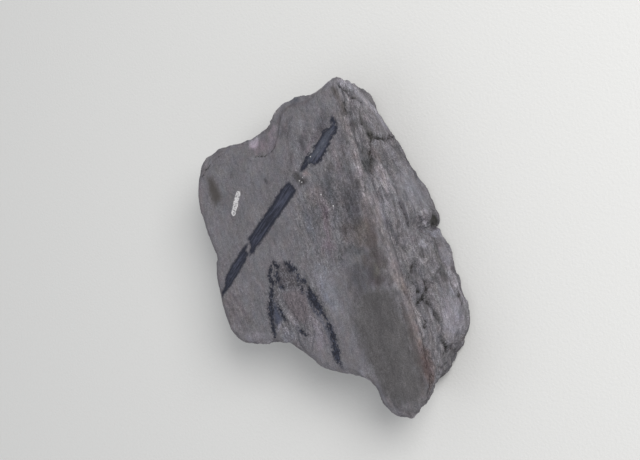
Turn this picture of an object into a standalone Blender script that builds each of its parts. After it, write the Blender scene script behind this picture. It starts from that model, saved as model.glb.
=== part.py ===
"""Fossil cockroach in a slab of grey shale.

The slab lies on its back with the fossil face up. The stone is one piece: the insect, the plant stem
beside it and the rock around them split away as a single slab, so it is one solid. It is modelled in
millimetres and scaled to metres at the end. +X crosses the face towards the thick broken side, +Y runs up
the face towards the peak and +Z points out of the face. The origin is under the middle of the slab, on the
surface that it lies on.
"""

import bmesh
import bpy
from mathutils import Vector, noise

MM = 0.001
THICKNESS = 22.0
SEGMENTS = 160
POINTS_PER_SPAN = 12

# The edge of the fossil face, anticlockwise from the peak, in millimetres. Each row holds the place of the
# edge (x, y), how far the foot of the wall below stands away from it (x, y), and how wide and how deep the
# edge is chipped.
FACE_EDGE = [
    (12.6, 42.9, -4.5, -1.8, 1.6, 1.4),
    (9.8, 41.6, -3.4, -1.6, 1.4, 1.0),
    (5.0, 38.3, -1.6, -0.8, 1.2, 0.8),
    (-1.2, 38.1, -0.6, -0.6, 2.2, 1.2),
    (-6.6, 35.8, -1.0, 0.2, 2.2, 1.2),
    (-9.4, 32.2, -1.2, 0.2, 1.6, 1.0),
    (-13.1, 28.9, -1.4, 0.2, 3.0, 1.3),
    (-16.4, 27.3, -0.8, 0.3, 4.2, 1.5),
    (-21.1, 25.8, -0.4, 0.3, 4.2, 1.5),
    (-25.1, 25.0, -0.4, 0.3, 2.6, 1.2),
    (-29.5, 24.6, -0.8, 0.2, 2.2, 1.5),
    (-32.8, 22.9, -1.4, 0.3, 2.2, 1.7),
    (-35.8, 21.2, -1.8, 0.2, 2.0, 1.6),
    (-37.2, 16.5, -1.8, 0.0, 1.4, 1.0),
    (-37.7, 9.0, -0.8, 0.0, 1.6, 1.1),
    (-35.7, 3.4, -1.2, -0.2, 1.4, 0.9),
    (-32.3, -4.2, -2.0, -0.6, 1.2, 0.8),
    (-30.3, -8.4, -2.2, -0.4, 1.2, 0.8),
    (-30.3, -13.3, -1.2, -0.2, 1.2, 0.8),
    (-28.8, -20.4, -1.4, -0.2, 1.4, 0.9),
    (-26.9, -26.0, -1.8, 0.4, 1.6, 1.0),
    (-24.0, -30.8, -1.2, 1.0, 1.8, 1.2),
    (-19.1, -33.1, -0.4, 1.2, 2.0, 1.2),
    (-9.0, -32.2, 0.0, 0.6, 1.4, 0.9),
    (-3.8, -32.0, 0.2, -0.2, 1.4, 0.9),
    (1.3, -34.5, 0.4, 0.4, 1.4, 1.0),
    (7.0, -37.8, 0.2, 1.0, 1.8, 1.0),
    (14.4, -39.6, -0.2, 1.4, 2.0, 1.1),
    (18.1, -39.6, -0.4, 0.9, 1.6, 1.0),
    (22.6, -41.1, -0.8, 1.8, 1.8, 1.2),
    (25.6, -43.6, -1.4, 3.2, 2.4, 1.4),
    (27.6, -47.3, -2.0, 5.4, 2.8, 1.6),
    (30.7, -50.2, -3.2, 7.2, 3.2, 1.8),
    (34.4, -51.0, -5.2, 7.7, 3.2, 1.8),
    (38.2, -49.7, -6.9, 7.0, 3.0, 1.6),
    (41.3, -46.2, -8.4, 4.9, 2.4, 1.4),
    (42.8, -42.6, -8.8, 2.6, 1.6, 1.0),
    (42.9, -39.2, -5.8, 1.2, 1.2, 0.8),
    (42.0, -36.4, -2.8, 1.0, 1.0, 0.7),
    (41.0, -33.0, 0.4, 1.0, 1.0, 0.7),
    (39.9, -29.4, 3.4, 1.3, 1.0, 0.7),
    (38.3, -25.0, 5.8, 1.4, 1.0, 0.7),
    (35.8, -18.2, 6.4, 1.7, 1.0, 0.7),
    (33.0, -10.8, 6.3, 1.9, 1.0, 0.7),
    (30.7, -4.2, 5.4, 1.6, 1.0, 0.7),
    (29.2, 0.1, 4.6, 0.6, 1.0, 0.7),
    (27.9, 4.1, 6.2, 0.3, 1.0, 0.7),
    (25.0, 11.0, 5.0, 1.0, 1.0, 0.7),
    (21.8, 17.8, 3.6, 0.8, 1.0, 0.7),
    (19.7, 22.8, 2.2, 0.7, 1.0, 0.7),
    (18.4, 26.4, 0.2, 0.4, 1.2, 0.8),
    (16.3, 32.0, -0.8, 0.2, 1.2, 0.8),
    (15.0, 38.2, -3.6, 0.2, 1.4, 1.0),
]

# Heights of the bedding planes on which the wall breaks into ledges.
BEDDING = (3.1, 6.6, 9.4, 13.2, 16.4, 18.9)
FOOT_CHAMFER = 1.2
LEDGE_DEPTH = 1.0
TERRACE_SHARE = 0.45
LEDGE_WAVE = 11.0
LIP_HEIGHT = 0.15
EDGE_WANDER = 0.35

# Lumps and hollows of the thick side: their middle (x, y, z), their half length along the wall, their half
# height, and how far they push it out or, where that is negative, set it back.
WALL_SHAPES = [
    ("split across the wall", (20.0, 26.6, 11.0), 1.6, 14.0, -1.3),
    ("hollow under the peak", (22.5, 19.0, 18.0), 6.0, 4.5, -1.0),
    ("smooth block", (29.0, 12.0, 8.0), 8.5, 8.0, 0.4),
    ("pit where a block fell out", (33.5, 1.4, 6.0), 2.9, 6.0, -3.2),
    ("ledge below the pit", (35.0, -3.4, 7.0), 2.6, 4.5, 0.5),
    ("splintered hollow", (37.0, -14.5, 15.5), 8.0, 3.5, -1.1),
    ("low swelling", (43.0, -24.0, 6.5), 8.0, 6.5, 0.9),
    ("hollow above the tip", (41.0, -34.5, 7.0), 3.0, 4.5, -1.2),
]

# Rings of the face and of the underside, as shares of the way from their edge to the middle.
FACE_RINGS = (0.07, 0.18, 0.34, 0.52, 0.72, 0.9)
UNDERSIDE_RINGS = (0.1, 0.26, 0.42)
FLAKE_DEPTH = 1.6
MIDDLE = Vector((3.0, -3.0))

# The ends of the ridge along which the face meets the thick side, and how the face falls towards it.
RIDGE_ENDS = (Vector((43.0, -42.0)), Vector((15.0, 37.0)))
RIDGE_FALL = 0.9
RIDGE_FALL_WIDTH = 9.0

SHALE_COLOUR = (0.135, 0.13, 0.14, 1.0)
SHALE_ROUGHNESS = 0.85


def clear_scene():
    for thing in list(bpy.data.objects):
        bpy.data.objects.remove(thing)


def smooth_step(low, high, value):
    share = min(1.0, max(0.0, (value - low) / (high - low)))
    return share * share * (3.0 - 2.0 * share)


def catmull_rom(before, start, end, after, share):
    """One value on the smooth curve from start to end."""
    linear = end - before
    square = 2.0 * before - 5.0 * start + 4.0 * end - after
    cube = 3.0 * (start - end) + after - before
    return start + 0.5 * share * (linear + share * (square + share * cube))


def sample_edge(rows, count):
    """Rows at equal distances along the smooth closed curve through the given rows."""
    dense = []
    for index in range(len(rows)):
        span = [rows[(index + step) % len(rows)] for step in (-1, 0, 1, 2)]
        for part in range(POINTS_PER_SPAN):
            share = part / POINTS_PER_SPAN
            dense.append([catmull_rom(*column, share) for column in zip(*span)])
    dense.append(dense[0])
    travelled = [0.0]
    for row, following in zip(dense, dense[1:]):
        travelled.append(travelled[-1] + (Vector(following[:2]) - Vector(row[:2])).length)
    samples = []
    place = 0
    for index in range(count):
        wanted = travelled[-1] * index / count
        while travelled[place + 1] < wanted:
            place += 1
        share = (wanted - travelled[place]) / (travelled[place + 1] - travelled[place])
        samples.append([a + (b - a) * share for a, b in zip(dense[place], dense[place + 1])])
    return samples


class EdgePoint:
    """One of the equally spaced places around the slab, from which its wall, face and underside grow."""

    def __init__(self, row, outward):
        self.rim = Vector(row[:2])
        self.foot_offset = Vector(row[2:4])
        self.chip_width = row[4]
        self.chip_depth = row[5]
        self.outward = outward
        self.rim += outward * EDGE_WANDER * noise.noise((self.rim / 4.0).to_3d())

    def wall(self, height, layer):
        """The place on the wall at this height, in the given layer of the bedding."""
        low = (0.0, *BEDDING)[layer]
        high = (*BEDDING, THICKNESS)[layer]
        layer_share = (low + high) / 2.0 / THICKNESS
        share = height / THICKNESS * (1.0 - TERRACE_SHARE) + layer_share * TERRACE_SHARE
        place = self.rim + self.foot_offset * (1.0 - share)
        wave = Vector((place.x / LEDGE_WAVE, place.y / LEDGE_WAVE, 3.7 * layer))
        top_layer = layer == len(BEDDING)
        ledge = 0.0 if top_layer else LEDGE_DEPTH * noise.noise(wave)
        place += self.outward * (ledge + wall_push(place, height))
        return place.to_3d() + Vector((0.0, 0.0, height))

    def bedding_height(self, number):
        """The height here of one bedding plane, which dips and rises a little along the wall."""
        wave = Vector((self.rim.x / 16.0, self.rim.y / 16.0, 5.1 * number))
        return BEDDING[number] + 0.9 * noise.noise(wave)


def wall_push(place, height):
    """How far the lumps and hollows of the thick side move the wall here."""
    push = 0.0
    for _name, middle, half_length, half_height, amount in WALL_SHAPES:
        along = (place - Vector(middle[:2])).length / half_length
        up = (height - middle[2]) / half_height
        push += amount * (1.0 - smooth_step(0.3, 1.1, (along**2 + up**2) ** 0.5))
    return push


def edge_points():
    rows = sample_edge(FACE_EDGE, SEGMENTS)
    points = []
    for index, row in enumerate(rows):
        along = Vector(rows[(index + 1) % SEGMENTS][:2]) - Vector(rows[index - 1][:2])
        points.append(EdgePoint(row, Vector((along.y, -along.x)).normalized()))
    return points


def face_height(place):
    """The height of the fossil face: nearly flat, with low swells, and falling a little to the thick side."""
    swell = 0.35 * noise.noise((place / 14.0).to_3d()) + 0.15 * noise.noise((place / 5.0).to_3d())
    along = (RIDGE_ENDS[1] - RIDGE_ENDS[0]).normalized()
    offset = place - RIDGE_ENDS[0]
    distance = abs(offset.x * along.y - offset.y * along.x)
    return THICKNESS + swell - RIDGE_FALL * (1.0 - smooth_step(0.0, RIDGE_FALL_WIDTH, distance))


def underside_height(place, share):
    """Flat in the middle, with shallow flake scars towards the edge."""
    scar = FLAKE_DEPTH * (noise.noise((place / 11.0).to_3d() + Vector((0.0, 0.0, 40.0))) - 0.05)
    return max(0.0, scar) * (1.0 - smooth_step(0.2, UNDERSIDE_RINGS[-1], share))


def grow_ring(bm, ring, places):
    """Extrudes a closed ring of vertices to new places and returns the new ring, in the same order."""
    edges = [bm.edges.get((ring[index - 1], ring[index])) for index in range(len(ring))]
    made = bmesh.ops.extrude_edge_only(bm, edges=edges)["geom"]
    fresh = {item for item in made if isinstance(item, bmesh.types.BMVert)}
    following = []
    for vertex, place in zip(ring, places):
        neighbours = (edge.other_vert(vertex) for edge in vertex.link_edges)
        twin = next(other for other in neighbours if other in fresh)
        twin.co = place
        following.append(twin)
    return following


def wall_rings(points):
    """The rings of the wall, from the foot to the chipped edge of the face."""
    rings = []
    for layer in range(len(BEDDING) + 1):
        low = [FOOT_CHAMFER if layer == 0 else point.bedding_height(layer - 1) for point in points]
        if layer == len(BEDDING):
            high = [THICKNESS - point.chip_depth for point in points]
        else:
            high = [point.bedding_height(layer) for point in points]
        rings.append([point.wall(height, layer) for point, height in zip(points, low)])
        rings.append([point.wall(height - LIP_HEIGHT, layer) for point, height in zip(points, high)])
    return rings


def face_rings(points):
    """The rings of the face: the chipped edge, then copies of it drawn towards the middle."""
    chipped = [point.rim - point.outward * 0.55 * point.chip_width for point in points]
    inner = [point.rim - point.outward * point.chip_width for point in points]
    depths = [0.4 * point.chip_depth for point in points]
    rings = [[place.to_3d() + Vector((0, 0, face_height(place) - depth)) for place, depth in zip(chipped, depths)]]
    for share in (0.0, *FACE_RINGS):
        drawn = [place.lerp(MIDDLE, share) for place in inner]
        rings.append([place.to_3d() + Vector((0, 0, face_height(place))) for place in drawn])
    return rings


def underside_rings(points):
    """The rings of the underside, from the chamfered foot to the flat middle."""
    feet = [point.wall(FOOT_CHAMFER, 0).xy - point.outward * FOOT_CHAMFER for point in points]
    rings = []
    for share in (0.0, *UNDERSIDE_RINGS):
        drawn = [place.lerp(MIDDLE, share) for place in feet]
        rings.append([place.to_3d() + Vector((0, 0, underside_height(place, share))) for place in drawn])
    return rings


def slab_mesh():
    points = edge_points()
    walls = wall_rings(points)
    bm = bmesh.new()
    foot = bmesh.ops.create_circle(bm, segments=SEGMENTS, radius=1.0)["verts"]
    for vertex, place in zip(foot, walls[0]):
        vertex.co = place
    ring = foot
    for places in walls[1:] + face_rings(points):
        ring = grow_ring(bm, ring, places)
    bmesh.ops.poke(bm, faces=[bm.faces.new(ring)])
    ring = foot
    for places in underside_rings(points):
        ring = grow_ring(bm, ring, places)
    bm.faces.new(ring)
    bmesh.ops.recalc_face_normals(bm, faces=bm.faces)
    bmesh.ops.triangulate(bm, faces=bm.faces)
    return bm


def centre_on_origin(bm):
    """Moves the slab so that the middle of its box stands over the origin."""
    for axis in (0, 1):
        places = [vertex.co[axis] for vertex in bm.verts]
        shift = Vector()
        shift[axis] = -(min(places) + max(places)) / 2.0
        bmesh.ops.translate(bm, vec=shift, verts=bm.verts)


def shale_material():
    material = bpy.data.materials.new("grey_shale")
    material.use_nodes = True
    shader = material.node_tree.nodes["Principled BSDF"]
    shader.inputs["Base Color"].default_value = SHALE_COLOUR
    shader.inputs["Roughness"].default_value = SHALE_ROUGHNESS
    shader.inputs["Metallic"].default_value = 0.0
    return material


def add_slab():
    bm = slab_mesh()
    centre_on_origin(bm)
    bmesh.ops.scale(bm, vec=(MM, MM, MM), verts=bm.verts)
    mesh = bpy.data.meshes.new("fossil_slab")
    bm.to_mesh(mesh)
    bm.free()
    mesh.materials.append(shale_material())
    slab = bpy.data.objects.new("fossil_slab", mesh)
    bpy.context.scene.collection.objects.link(slab)


def main():
    clear_scene()
    add_slab()


if __name__ == "__main__":
    main()
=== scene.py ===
"""Fossil cockroach: the looks of a slab of grey shale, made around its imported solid.

The slab lies on its back with the fossil face up. Places on it are millimetres from FACE_ORIGIN: x runs
across the face to the thick broken side, y up the face to the peak, and z is the height above the surface
that the slab lies on. The stone is one piece. Its broken walls, chips and cracks are moved in the mesh, and
the fossils are films on the face, so the mesh only keeps how far each point is from their outlines.
"""

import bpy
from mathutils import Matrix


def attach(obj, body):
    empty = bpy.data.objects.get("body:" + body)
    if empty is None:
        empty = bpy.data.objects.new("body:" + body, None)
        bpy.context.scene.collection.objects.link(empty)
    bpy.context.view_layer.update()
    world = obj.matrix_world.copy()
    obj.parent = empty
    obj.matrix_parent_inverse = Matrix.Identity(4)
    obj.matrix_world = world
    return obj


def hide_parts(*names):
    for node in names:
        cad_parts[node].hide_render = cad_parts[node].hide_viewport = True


bl_info = {
    "name": "Fossil Cockroach Slab",
    "version": (1, 0, 0),
    "blender": (4, 5, 0),
    "location": "View3D > Sidebar > Fossil",
    "description": "Shapes and colours a slab of shale with an insect and a plant stem in its face",
    "category": "Object",
}

import math

import bmesh
import bpy
import numpy as np
from bpy.props import FloatProperty, FloatVectorProperty, PointerProperty
from bpy.types import Operator, Panel, PropertyGroup
from mathutils import Matrix, Vector, kdtree, noise

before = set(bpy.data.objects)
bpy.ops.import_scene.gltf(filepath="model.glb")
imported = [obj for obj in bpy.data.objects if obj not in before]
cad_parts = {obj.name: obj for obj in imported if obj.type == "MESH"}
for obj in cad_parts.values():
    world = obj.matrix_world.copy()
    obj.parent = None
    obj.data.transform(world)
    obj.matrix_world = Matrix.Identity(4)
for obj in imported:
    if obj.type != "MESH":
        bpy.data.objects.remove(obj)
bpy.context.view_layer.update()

MM = 0.001
CAD_NODE = "fossil_slab"

# The point on the slab from which places are measured, in millimetres from the frame's origin.
FACE_ORIGIN = Vector((-2.25, 3.71, 0.0))
FACE_HEIGHT = 22.0

# The ridge where the face meets the thick side, from the peak to the tip.
RIDGE = [(12.8, 40.1), (16.1, 31.7), (21.7, 17.7), (28.1, 4.0), (32.9, -10.7), (38.4, -25.2), (42.1, -36.9), (43.3, -41.5)]
RIDGE_TURN = math.radians(19.5)

# The plant stem: the film of it that is left in three stretches, each an outline on the face.
STEM_TURN = math.radians(49.0)
STEM_MAIN = [
    (-2.7, 13.6), (-1.6, 12.5), (-0.4, 11.3), (-1.3, 9.9), (-4.1, 6.8), (-7.3, 3.2), (-10.9, -0.9),
    (-13.8, -4.1), (-14.9, -5.2), (-15.8, -6.7), (-17.4, -7.6), (-17.3, -5.9), (-17.0, -4.5), (-17.4, -3.4),
    (-18.1, -2.7), (-17.0, -1.5), (-12.9, 3.3), (-9.5, 7.2), (-6.0, 11.6), (-4.1, 13.3),
]
STEM_FOOT = [
    (-18.2, -3.9), (-18.0, -5.0), (-18.7, -6.0), (-17.7, -6.9), (-18.9, -9.2), (-20.7, -11.9), (-23.1, -15.0),
    (-25.4, -17.6), (-27.9, -20.0), (-28.0, -18.4), (-26.6, -16.4), (-26.6, -14.9), (-26.0, -13.3),
    (-23.7, -10.0), (-20.9, -6.6), (-20.2, -5.8), (-19.4, -4.9),
]
STEM_TOP = [
    (11.4, 31.9), (12.7, 30.0), (13.0, 28.3), (12.6, 26.7), (11.5, 25.1), (10.2, 22.7), (8.5, 20.1), (7.2, 18.3),
    (5.2, 17.9), (3.4, 18.9), (3.9, 20.9), (5.1, 22.3), (6.3, 24.1), (7.6, 26.2), (8.9, 27.6), (10.5, 28.6),
    (10.9, 30.4),
]
STEM_CHIP = [
    (4.2, 21.6), (2.7, 20.3), (1.6, 18.6), (0.9, 16.7), (1.8, 16.3), (3.0, 17.4), (3.9, 18.3), (3.9, 19.9),
    (4.7, 21.6),
]
STEM_PARTS = [STEM_MAIN, STEM_FOOT, STEM_TOP, STEM_CHIP]

# Where the film of the stem's top is worn to a pale blue-grey, as a line of (x, y, half width).
WORN_STEM = [
    (3.8, 19.4, 0.2), (5.0, 20.6, 0.4), (6.5, 21.5, 0.6), (7.9, 23.2, 0.75), (9.1, 24.9, 0.75), (10.1, 26.4, 0.6),
    (11.4, 27.6, 0.4),
]

# The insect: the dark margins of its folded wings and what is left of its head, as lines of (x, y, half width).
LEFT_WING = [
    (-9.3, -17.0, 0.5), (-9.2, -18.4, 0.85), (-9.3, -19.6, 0.6), (-9.2, -20.8, 0.95), (-9.3, -22.4, 1.05),
    (-9.2, -24.2, 0.95), (-9.0, -25.8, 0.75), (-8.7, -27.2, 0.55), (-8.3, -28.4, 0.6), (-8.0, -29.6, 0.5),
    (-7.9, -31.4, 0.35),
]
LEFT_WING_FOLD = [(-7.4, -20.6, 0.2), (-6.6, -22.0, 0.35), (-5.8, -23.2, 0.5), (-4.9, -24.4, 0.4), (-3.9, -25.6, 0.2)]
RIGHT_WING = [
    (3.8, -16.3, 0.6), (4.3, -17.6, 1.0), (5.0, -18.8, 1.3), (5.9, -20.0, 1.4), (6.8, -21.2, 1.3),
    (7.6, -22.2, 1.1), (8.4, -23.0, 0.65), (9.2, -23.9, 0.4), (10.2, -25.4, 0.5), (10.9, -26.8, 0.8),
    (11.6, -28.4, 0.9), (12.2, -29.8, 0.9), (12.7, -31.2, 0.8), (12.8, -32.4, 0.9), (13.0, -33.8, 1.4),
    (13.4, -35.2, 1.1), (14.4, -36.8, 0.5), (15.3, -38.4, 0.2),
]
HEAD_RING = [
    [(-9.5, -10.6, 0.55), (-9.3, -11.5, 0.7)],
    [(-8.1, -9.5, 0.65), (-7.5, -10.2, 0.8), (-7.2, -10.9, 0.55)],
    [(-9.9, -12.3, 0.45), (-9.9, -13.4, 0.55), (-9.3, -14.6, 0.65), (-8.6, -15.2, 0.7)],
    [(-7.6, -12.0, 0.45), (-7.4, -13.1, 0.7), (-6.9, -13.9, 0.7), (-7.2, -14.9, 0.5)],
    [(-6.4, -15.9, 0.55), (-5.2, -16.4, 0.45)],
]
HEAD_SHIELD = [
    [(-4.0, -9.5, 0.45), (-3.0, -9.7, 0.65), (-2.6, -10.4, 1.05), (-1.7, -11.0, 0.95), (-0.8, -11.3, 0.65)],
    [(-3.4, -10.8, 0.5), (-2.2, -11.8, 0.5)],
    [(0.1, -12.8, 0.65), (0.3, -13.9, 0.6)],
    [(1.2, -14.2, 0.6), (2.2, -14.4, 0.75)],
    [(0.8, -15.4, 0.55), (1.9, -17.4, 0.5)],
]
TORN_VEIN = [(0.2, -28.1, 0.35), (1.2, -28.5, 0.55), (2.0, -28.8, 0.6), (3.0, -29.5, 0.35)]
WING_LINES = [LEFT_WING, LEFT_WING_FOLD, RIGHT_WING, TORN_VEIN, *HEAD_RING, *HEAD_SHIELD]

# Veins of the wings, faint lines that fan out from the front.
VEIN_LINES = [
    [(-6.2, -19.4, 0.2), (-4.6, -20.4, 0.3), (-2.4, -22.6, 0.35), (-0.4, -25.0, 0.3), (1.8, -26.8, 0.2)],
    [(-3.2, -19.4, 0.2), (-1.2, -22.2, 0.25), (0.6, -24.0, 0.2)],
    [(-6.8, -21.8, 0.2), (-3.6, -26.2, 0.3), (-1.2, -30.6, 0.2)],
    [(-5.4, -27.0, 0.2), (-2.2, -31.2, 0.2)],
    [(0.9, -19.6, 0.2), (2.9, -24.6, 0.3), (2.4, -28.0, 0.15)],
    [(4.6, -24.8, 0.2), (5.6, -29.4, 0.25), (5.0, -33.8, 0.15)],
    [(0.0, -28.8, 0.2), (0.4, -31.2, 0.3), (2.6, -34.0, 0.2)],
    [(7.6, -27.0, 0.15), (9.6, -32.0, 0.2)],
]

# The blue-grey rock beside the wings' margins, and the brown rock and the mottled head inside the insect.
LEFT_FILL = [
    (-8.8, -20.0), (-7.4, -20.8), (-6.0, -22.8), (-4.6, -25.0), (-5.2, -26.6), (-6.8, -27.6), (-8.2, -27.2),
    (-9.0, -24.0),
]
RIGHT_FILL = [
    (3.0, -16.8), (4.2, -19.2), (5.6, -21.4), (7.0, -22.8), (8.4, -24.2), (10.2, -26.8), (11.6, -30.0),
    (12.6, -33.0), (11.4, -33.4), (10.2, -30.4), (9.0, -27.4), (7.2, -25.0), (5.2, -23.0), (3.6, -20.6),
    (2.6, -18.2),
]
WING_FILLS = [LEFT_FILL, RIGHT_FILL]
WING_BODY = [
    (-5.8, -18.0), (-2.0, -17.0), (1.8, -16.9), (3.5, -19.7), (4.5, -23.9), (2.8, -27.0), (-0.3, -26.0),
    (-3.3, -22.7),
]
HEAD = [
    (-7.2, -11.7), (-6.4, -9.2), (-4.6, -9.0), (-2.4, -10.6), (-0.3, -13.0), (1.2, -15.3), (-0.6, -17.2),
    (-4.8, -17.2), (-7.4, -15.4),
]

# The smooth olive-grey patch towards the tip, and the brown stain beside the left edge.
SMOOTH_PATCH = [
    (28.2, -15.1), (26.1, -15.4), (22.9, -16.6), (20.0, -18.6), (18.5, -21.4), (18.3, -24.1), (19.1, -26.8),
    (20.4, -29.5), (22.1, -32.7), (23.7, -36.7), (25.2, -40.7), (27.6, -43.5), (30.6, -45.9), (33.7, -47.2),
    (37.0, -47.2), (39.7, -45.9), (41.0, -42.8), (40.7, -39.2), (39.4, -35.0), (38.2, -31.4), (36.7, -27.7),
    (34.8, -23.5), (33.0, -19.6), (31.2, -16.7),
]
STAIN = [
    (-33.6, 16.0), (-31.0, 15.8), (-28.6, 12.4), (-27.4, 10.0), (-28.6, 8.0), (-30.3, 6.4), (-31.7, 8.3),
    (-33.2, 11.3),
]

# A worn dab of white paint, bare of any writing, as a line of (x, y, half width).
PAINT_DAB = [(-21.6, 10.6, 0.85), (-22.1, 8.9, 0.8), (-22.4, 7.4, 0.85), (-22.9, 6.0, 0.8), (-23.2, 4.9, 0.75)]

# Flakes lost from the edge of the face: the outline that each left, how far the rock drops inside it and over
# what width it does so.
FLAKES = [
    (
        [
            (-24.6, 24.0), (-20.4, 22.5), (-17.2, 21.5), (-14.7, 21.4), (-12.4, 21.4), (-9.4, 22.6), (-8.0, 24.3),
            (-7.1, 26.7), (-6.6, 29.0), (-5.7, 32.6), (-4.4, 34.8), (-1.8, 36.0), (2.6, 36.1), (5.4, 37.0),
            (4.0, 46.0), (-30.0, 46.0),
        ],
        0.7,
        0.5,
    ),
    (
        [
            (-35.6, 15.6), (-34.1, 17.4), (-31.6, 20.1), (-28.4, 21.9), (-25.0, 23.0), (-25.5, 30.0),
            (-45.0, 30.0), (-45.0, 14.0),
        ],
        0.7,
        1.6,
    ),
    (
        [
            (30.0, -40.0), (31.5, -46.2), (35.2, -47.6), (40.0, -46.4), (43.5, -43.0), (50.0, -48.0),
            (40.0, -60.0), (26.0, -56.0), (22.0, -42.5), (26.4, -44.2), (30.6, -47.4),
        ],
        0.35,
        1.6,
    ),
]

# Cracks, as lines of (x, y, z, half width), with the depth to which each is open.
CRACKS = [
    (
        [
            (17.9, 27.2, 13.3, 0.1), (18.2, 26.5, 13.0, 0.4), (18.8, 25.4, 13.0, 0.3), (19.5, 25.8, 12.0, 0.3),
            (19.5, 25.9, 10.6, 0.4), (19.4, 25.9, 9.2, 0.45), (19.4, 25.8, 7.5, 0.35), (19.2, 25.7, 5.0, 0.3),
            (18.9, 26.2, 4.0, 0.05), (18.6, 26.8, 2.8, 0.35), (19.1, 26.5, 1.8, 0.2),
        ],
        0.7,
    ),
    (
        [
            (11.9, 41.4, 21.2, 0.05), (13.1, 39.9, 21.0, 0.12), (14.3, 39.1, 20.2, 0.15), (14.2, 38.3, 17.2, 0.18),
            (14.4, 37.3, 15.4, 0.2), (14.5, 36.4, 13.0, 0.18), (14.5, 36.1, 9.9, 0.1),
        ],
        0.35,
    ),
    (
        [
            (34.3, -8.2, 14.0, 0.1), (34.2, -10.3, 16.4, 0.2), (34.7, -12.4, 17.8, 0.25), (35.2, -14.6, 17.5, 0.2),
            (36.0, -16.7, 16.4, 0.3),
        ],
        0.5,
    ),
    (
        [
            (36.8, -13.6, 12.4, 0.1), (37.2, -15.7, 13.5, 0.3), (37.4, -17.5, 15.5, 0.3), (36.7, -18.9, 16.4, 0.35),
            (37.2, -19.8, 18.8, 0.2),
        ],
        0.8,
    ),
    ([(18.8, 25.2, 13.4, 0.1), (19.8, 23.6, 15.1, 0.25), (21.1, 19.4, 16.5, 0.2), (21.9, 17.6, 18.0, 0.1)], 0.45),
    ([(28.3, 7.2, 13.5, 0.1), (29.3, 4.9, 13.6, 0.25), (30.5, 2.7, 13.5, 0.3), (31.4, 0.8, 13.3, 0.1)], 0.5),
    ([(37.4, -17.5, 15.5, 0.2), (38.4, -18.9, 15.0, 0.25), (39.2, -20.5, 14.9, 0.1)], 0.5),
    ([(39.7, -21.6, 14.1, 0.02), (40.4, -23.4, 13.4, 0.1), (40.9, -25.2, 13.2, 0.02)], 0.4),
    ([(38.9, -24.1, 18.0, 0.3), (39.4, -26.1, 18.9, 0.2)], 0.4),
    ([(41.0, -29.9, 11.5, 0.05), (41.0, -31.0, 10.6, 0.3), (40.8, -32.7, 8.7, 0.35), (40.5, -33.6, 8.0, 0.1)], 0.7),
    ([(41.7, -31.0, 8.6, 0.1), (41.0, -32.6, 6.4, 0.3), (40.0, -34.0, 4.1, 0.15)], 0.6),
    ([(41.3, -16.3, 4.2, 0.1), (42.3, -18.1, 4.8, 0.22), (43.2, -20.3, 4.8, 0.1)], 0.4),
    ([(41.0, -36.8, 14.1, 0.1), (40.4, -37.5, 10.3, 0.15), (39.8, -36.2, 6.6, 0.05)], 0.4),
    ([(25.0, 18.8, 1.0, 0.1), (25.6, 17.6, 1.4, 0.2), (26.8, 16.0, 2.2, 0.25), (27.6, 14.7, 2.7, 0.05)], 0.35),
    (
        [
            (-15.4, 21.4, 21.9, 0.02), (-13.8, 21.3, 21.9, 0.2), (-12.2, 21.4, 21.9, 0.26), (-10.6, 22.0, 22.0, 0.2),
            (-9.2, 22.9, 22.0, 0.1), (-8.2, 24.1, 22.1, 0.02),
        ],
        0.45,
    ),
    ([(-35.4, 15.9, 22.1, 0.1), (-34.1, 17.4, 22.1, 0.12), (-31.6, 20.1, 22.0, 0.04), (-28.4, 21.9, 22.0, 0.02)], 0.2),
]

# The pit at the lower end of the upper block: its middle, its half sizes and its depth. The rock stands out below it.
CAVITY = ((32.7, 2.6, 2.8), (1.2, 2.8, 2.2), 0.8)
PIT_RIM = ((33.8, 2.2, 0.8), (2.2, 4.0, 2.6), 0.9)

# Blocks of the thick side with smooth faces: the middle and the half sizes.
SMOOTH_BLOCKS = [
    ((28.8, 11.5, 6.5), (5.0, 9.5, 7.0)),
    ((42.2, -24.0, 7.5), (3.4, 7.5, 5.0)),
    ((13.6, 38.0, 7.0), (3.4, 3.6, 5.0)),
    ((16.4, 31.0, 3.0), (2.6, 4.0, 3.0)),
]

# The rubbed pale band of the face along the ridge.
PALE_BAND = [
    (12.6, 38.3), (14.0, 34.6), (15.3, 30.4), (16.6, 26.2), (18.2, 22.0), (19.6, 17.9), (21.4, 12.2), (23.4, 8.2),
    (25.4, 4.3), (27.0, 0.5), (28.7, -3.5), (30.4, -7.5), (31.6, -11.3), (33.5, -15.2), (35.9, -19.2), (37.4, -22.6),
    (38.7, -26.6), (39.6, -30.6),
]

# The rusty end of the ridge, as a line of (x, y, z, half width).
RUST = [(39.6, -29.8, 21.0, 0.3), (40.5, -32.8, 21.0, 1.1), (41.5, -37.2, 20.0, 1.6), (41.8, -41.8, 19.8, 0.9)]

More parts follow.
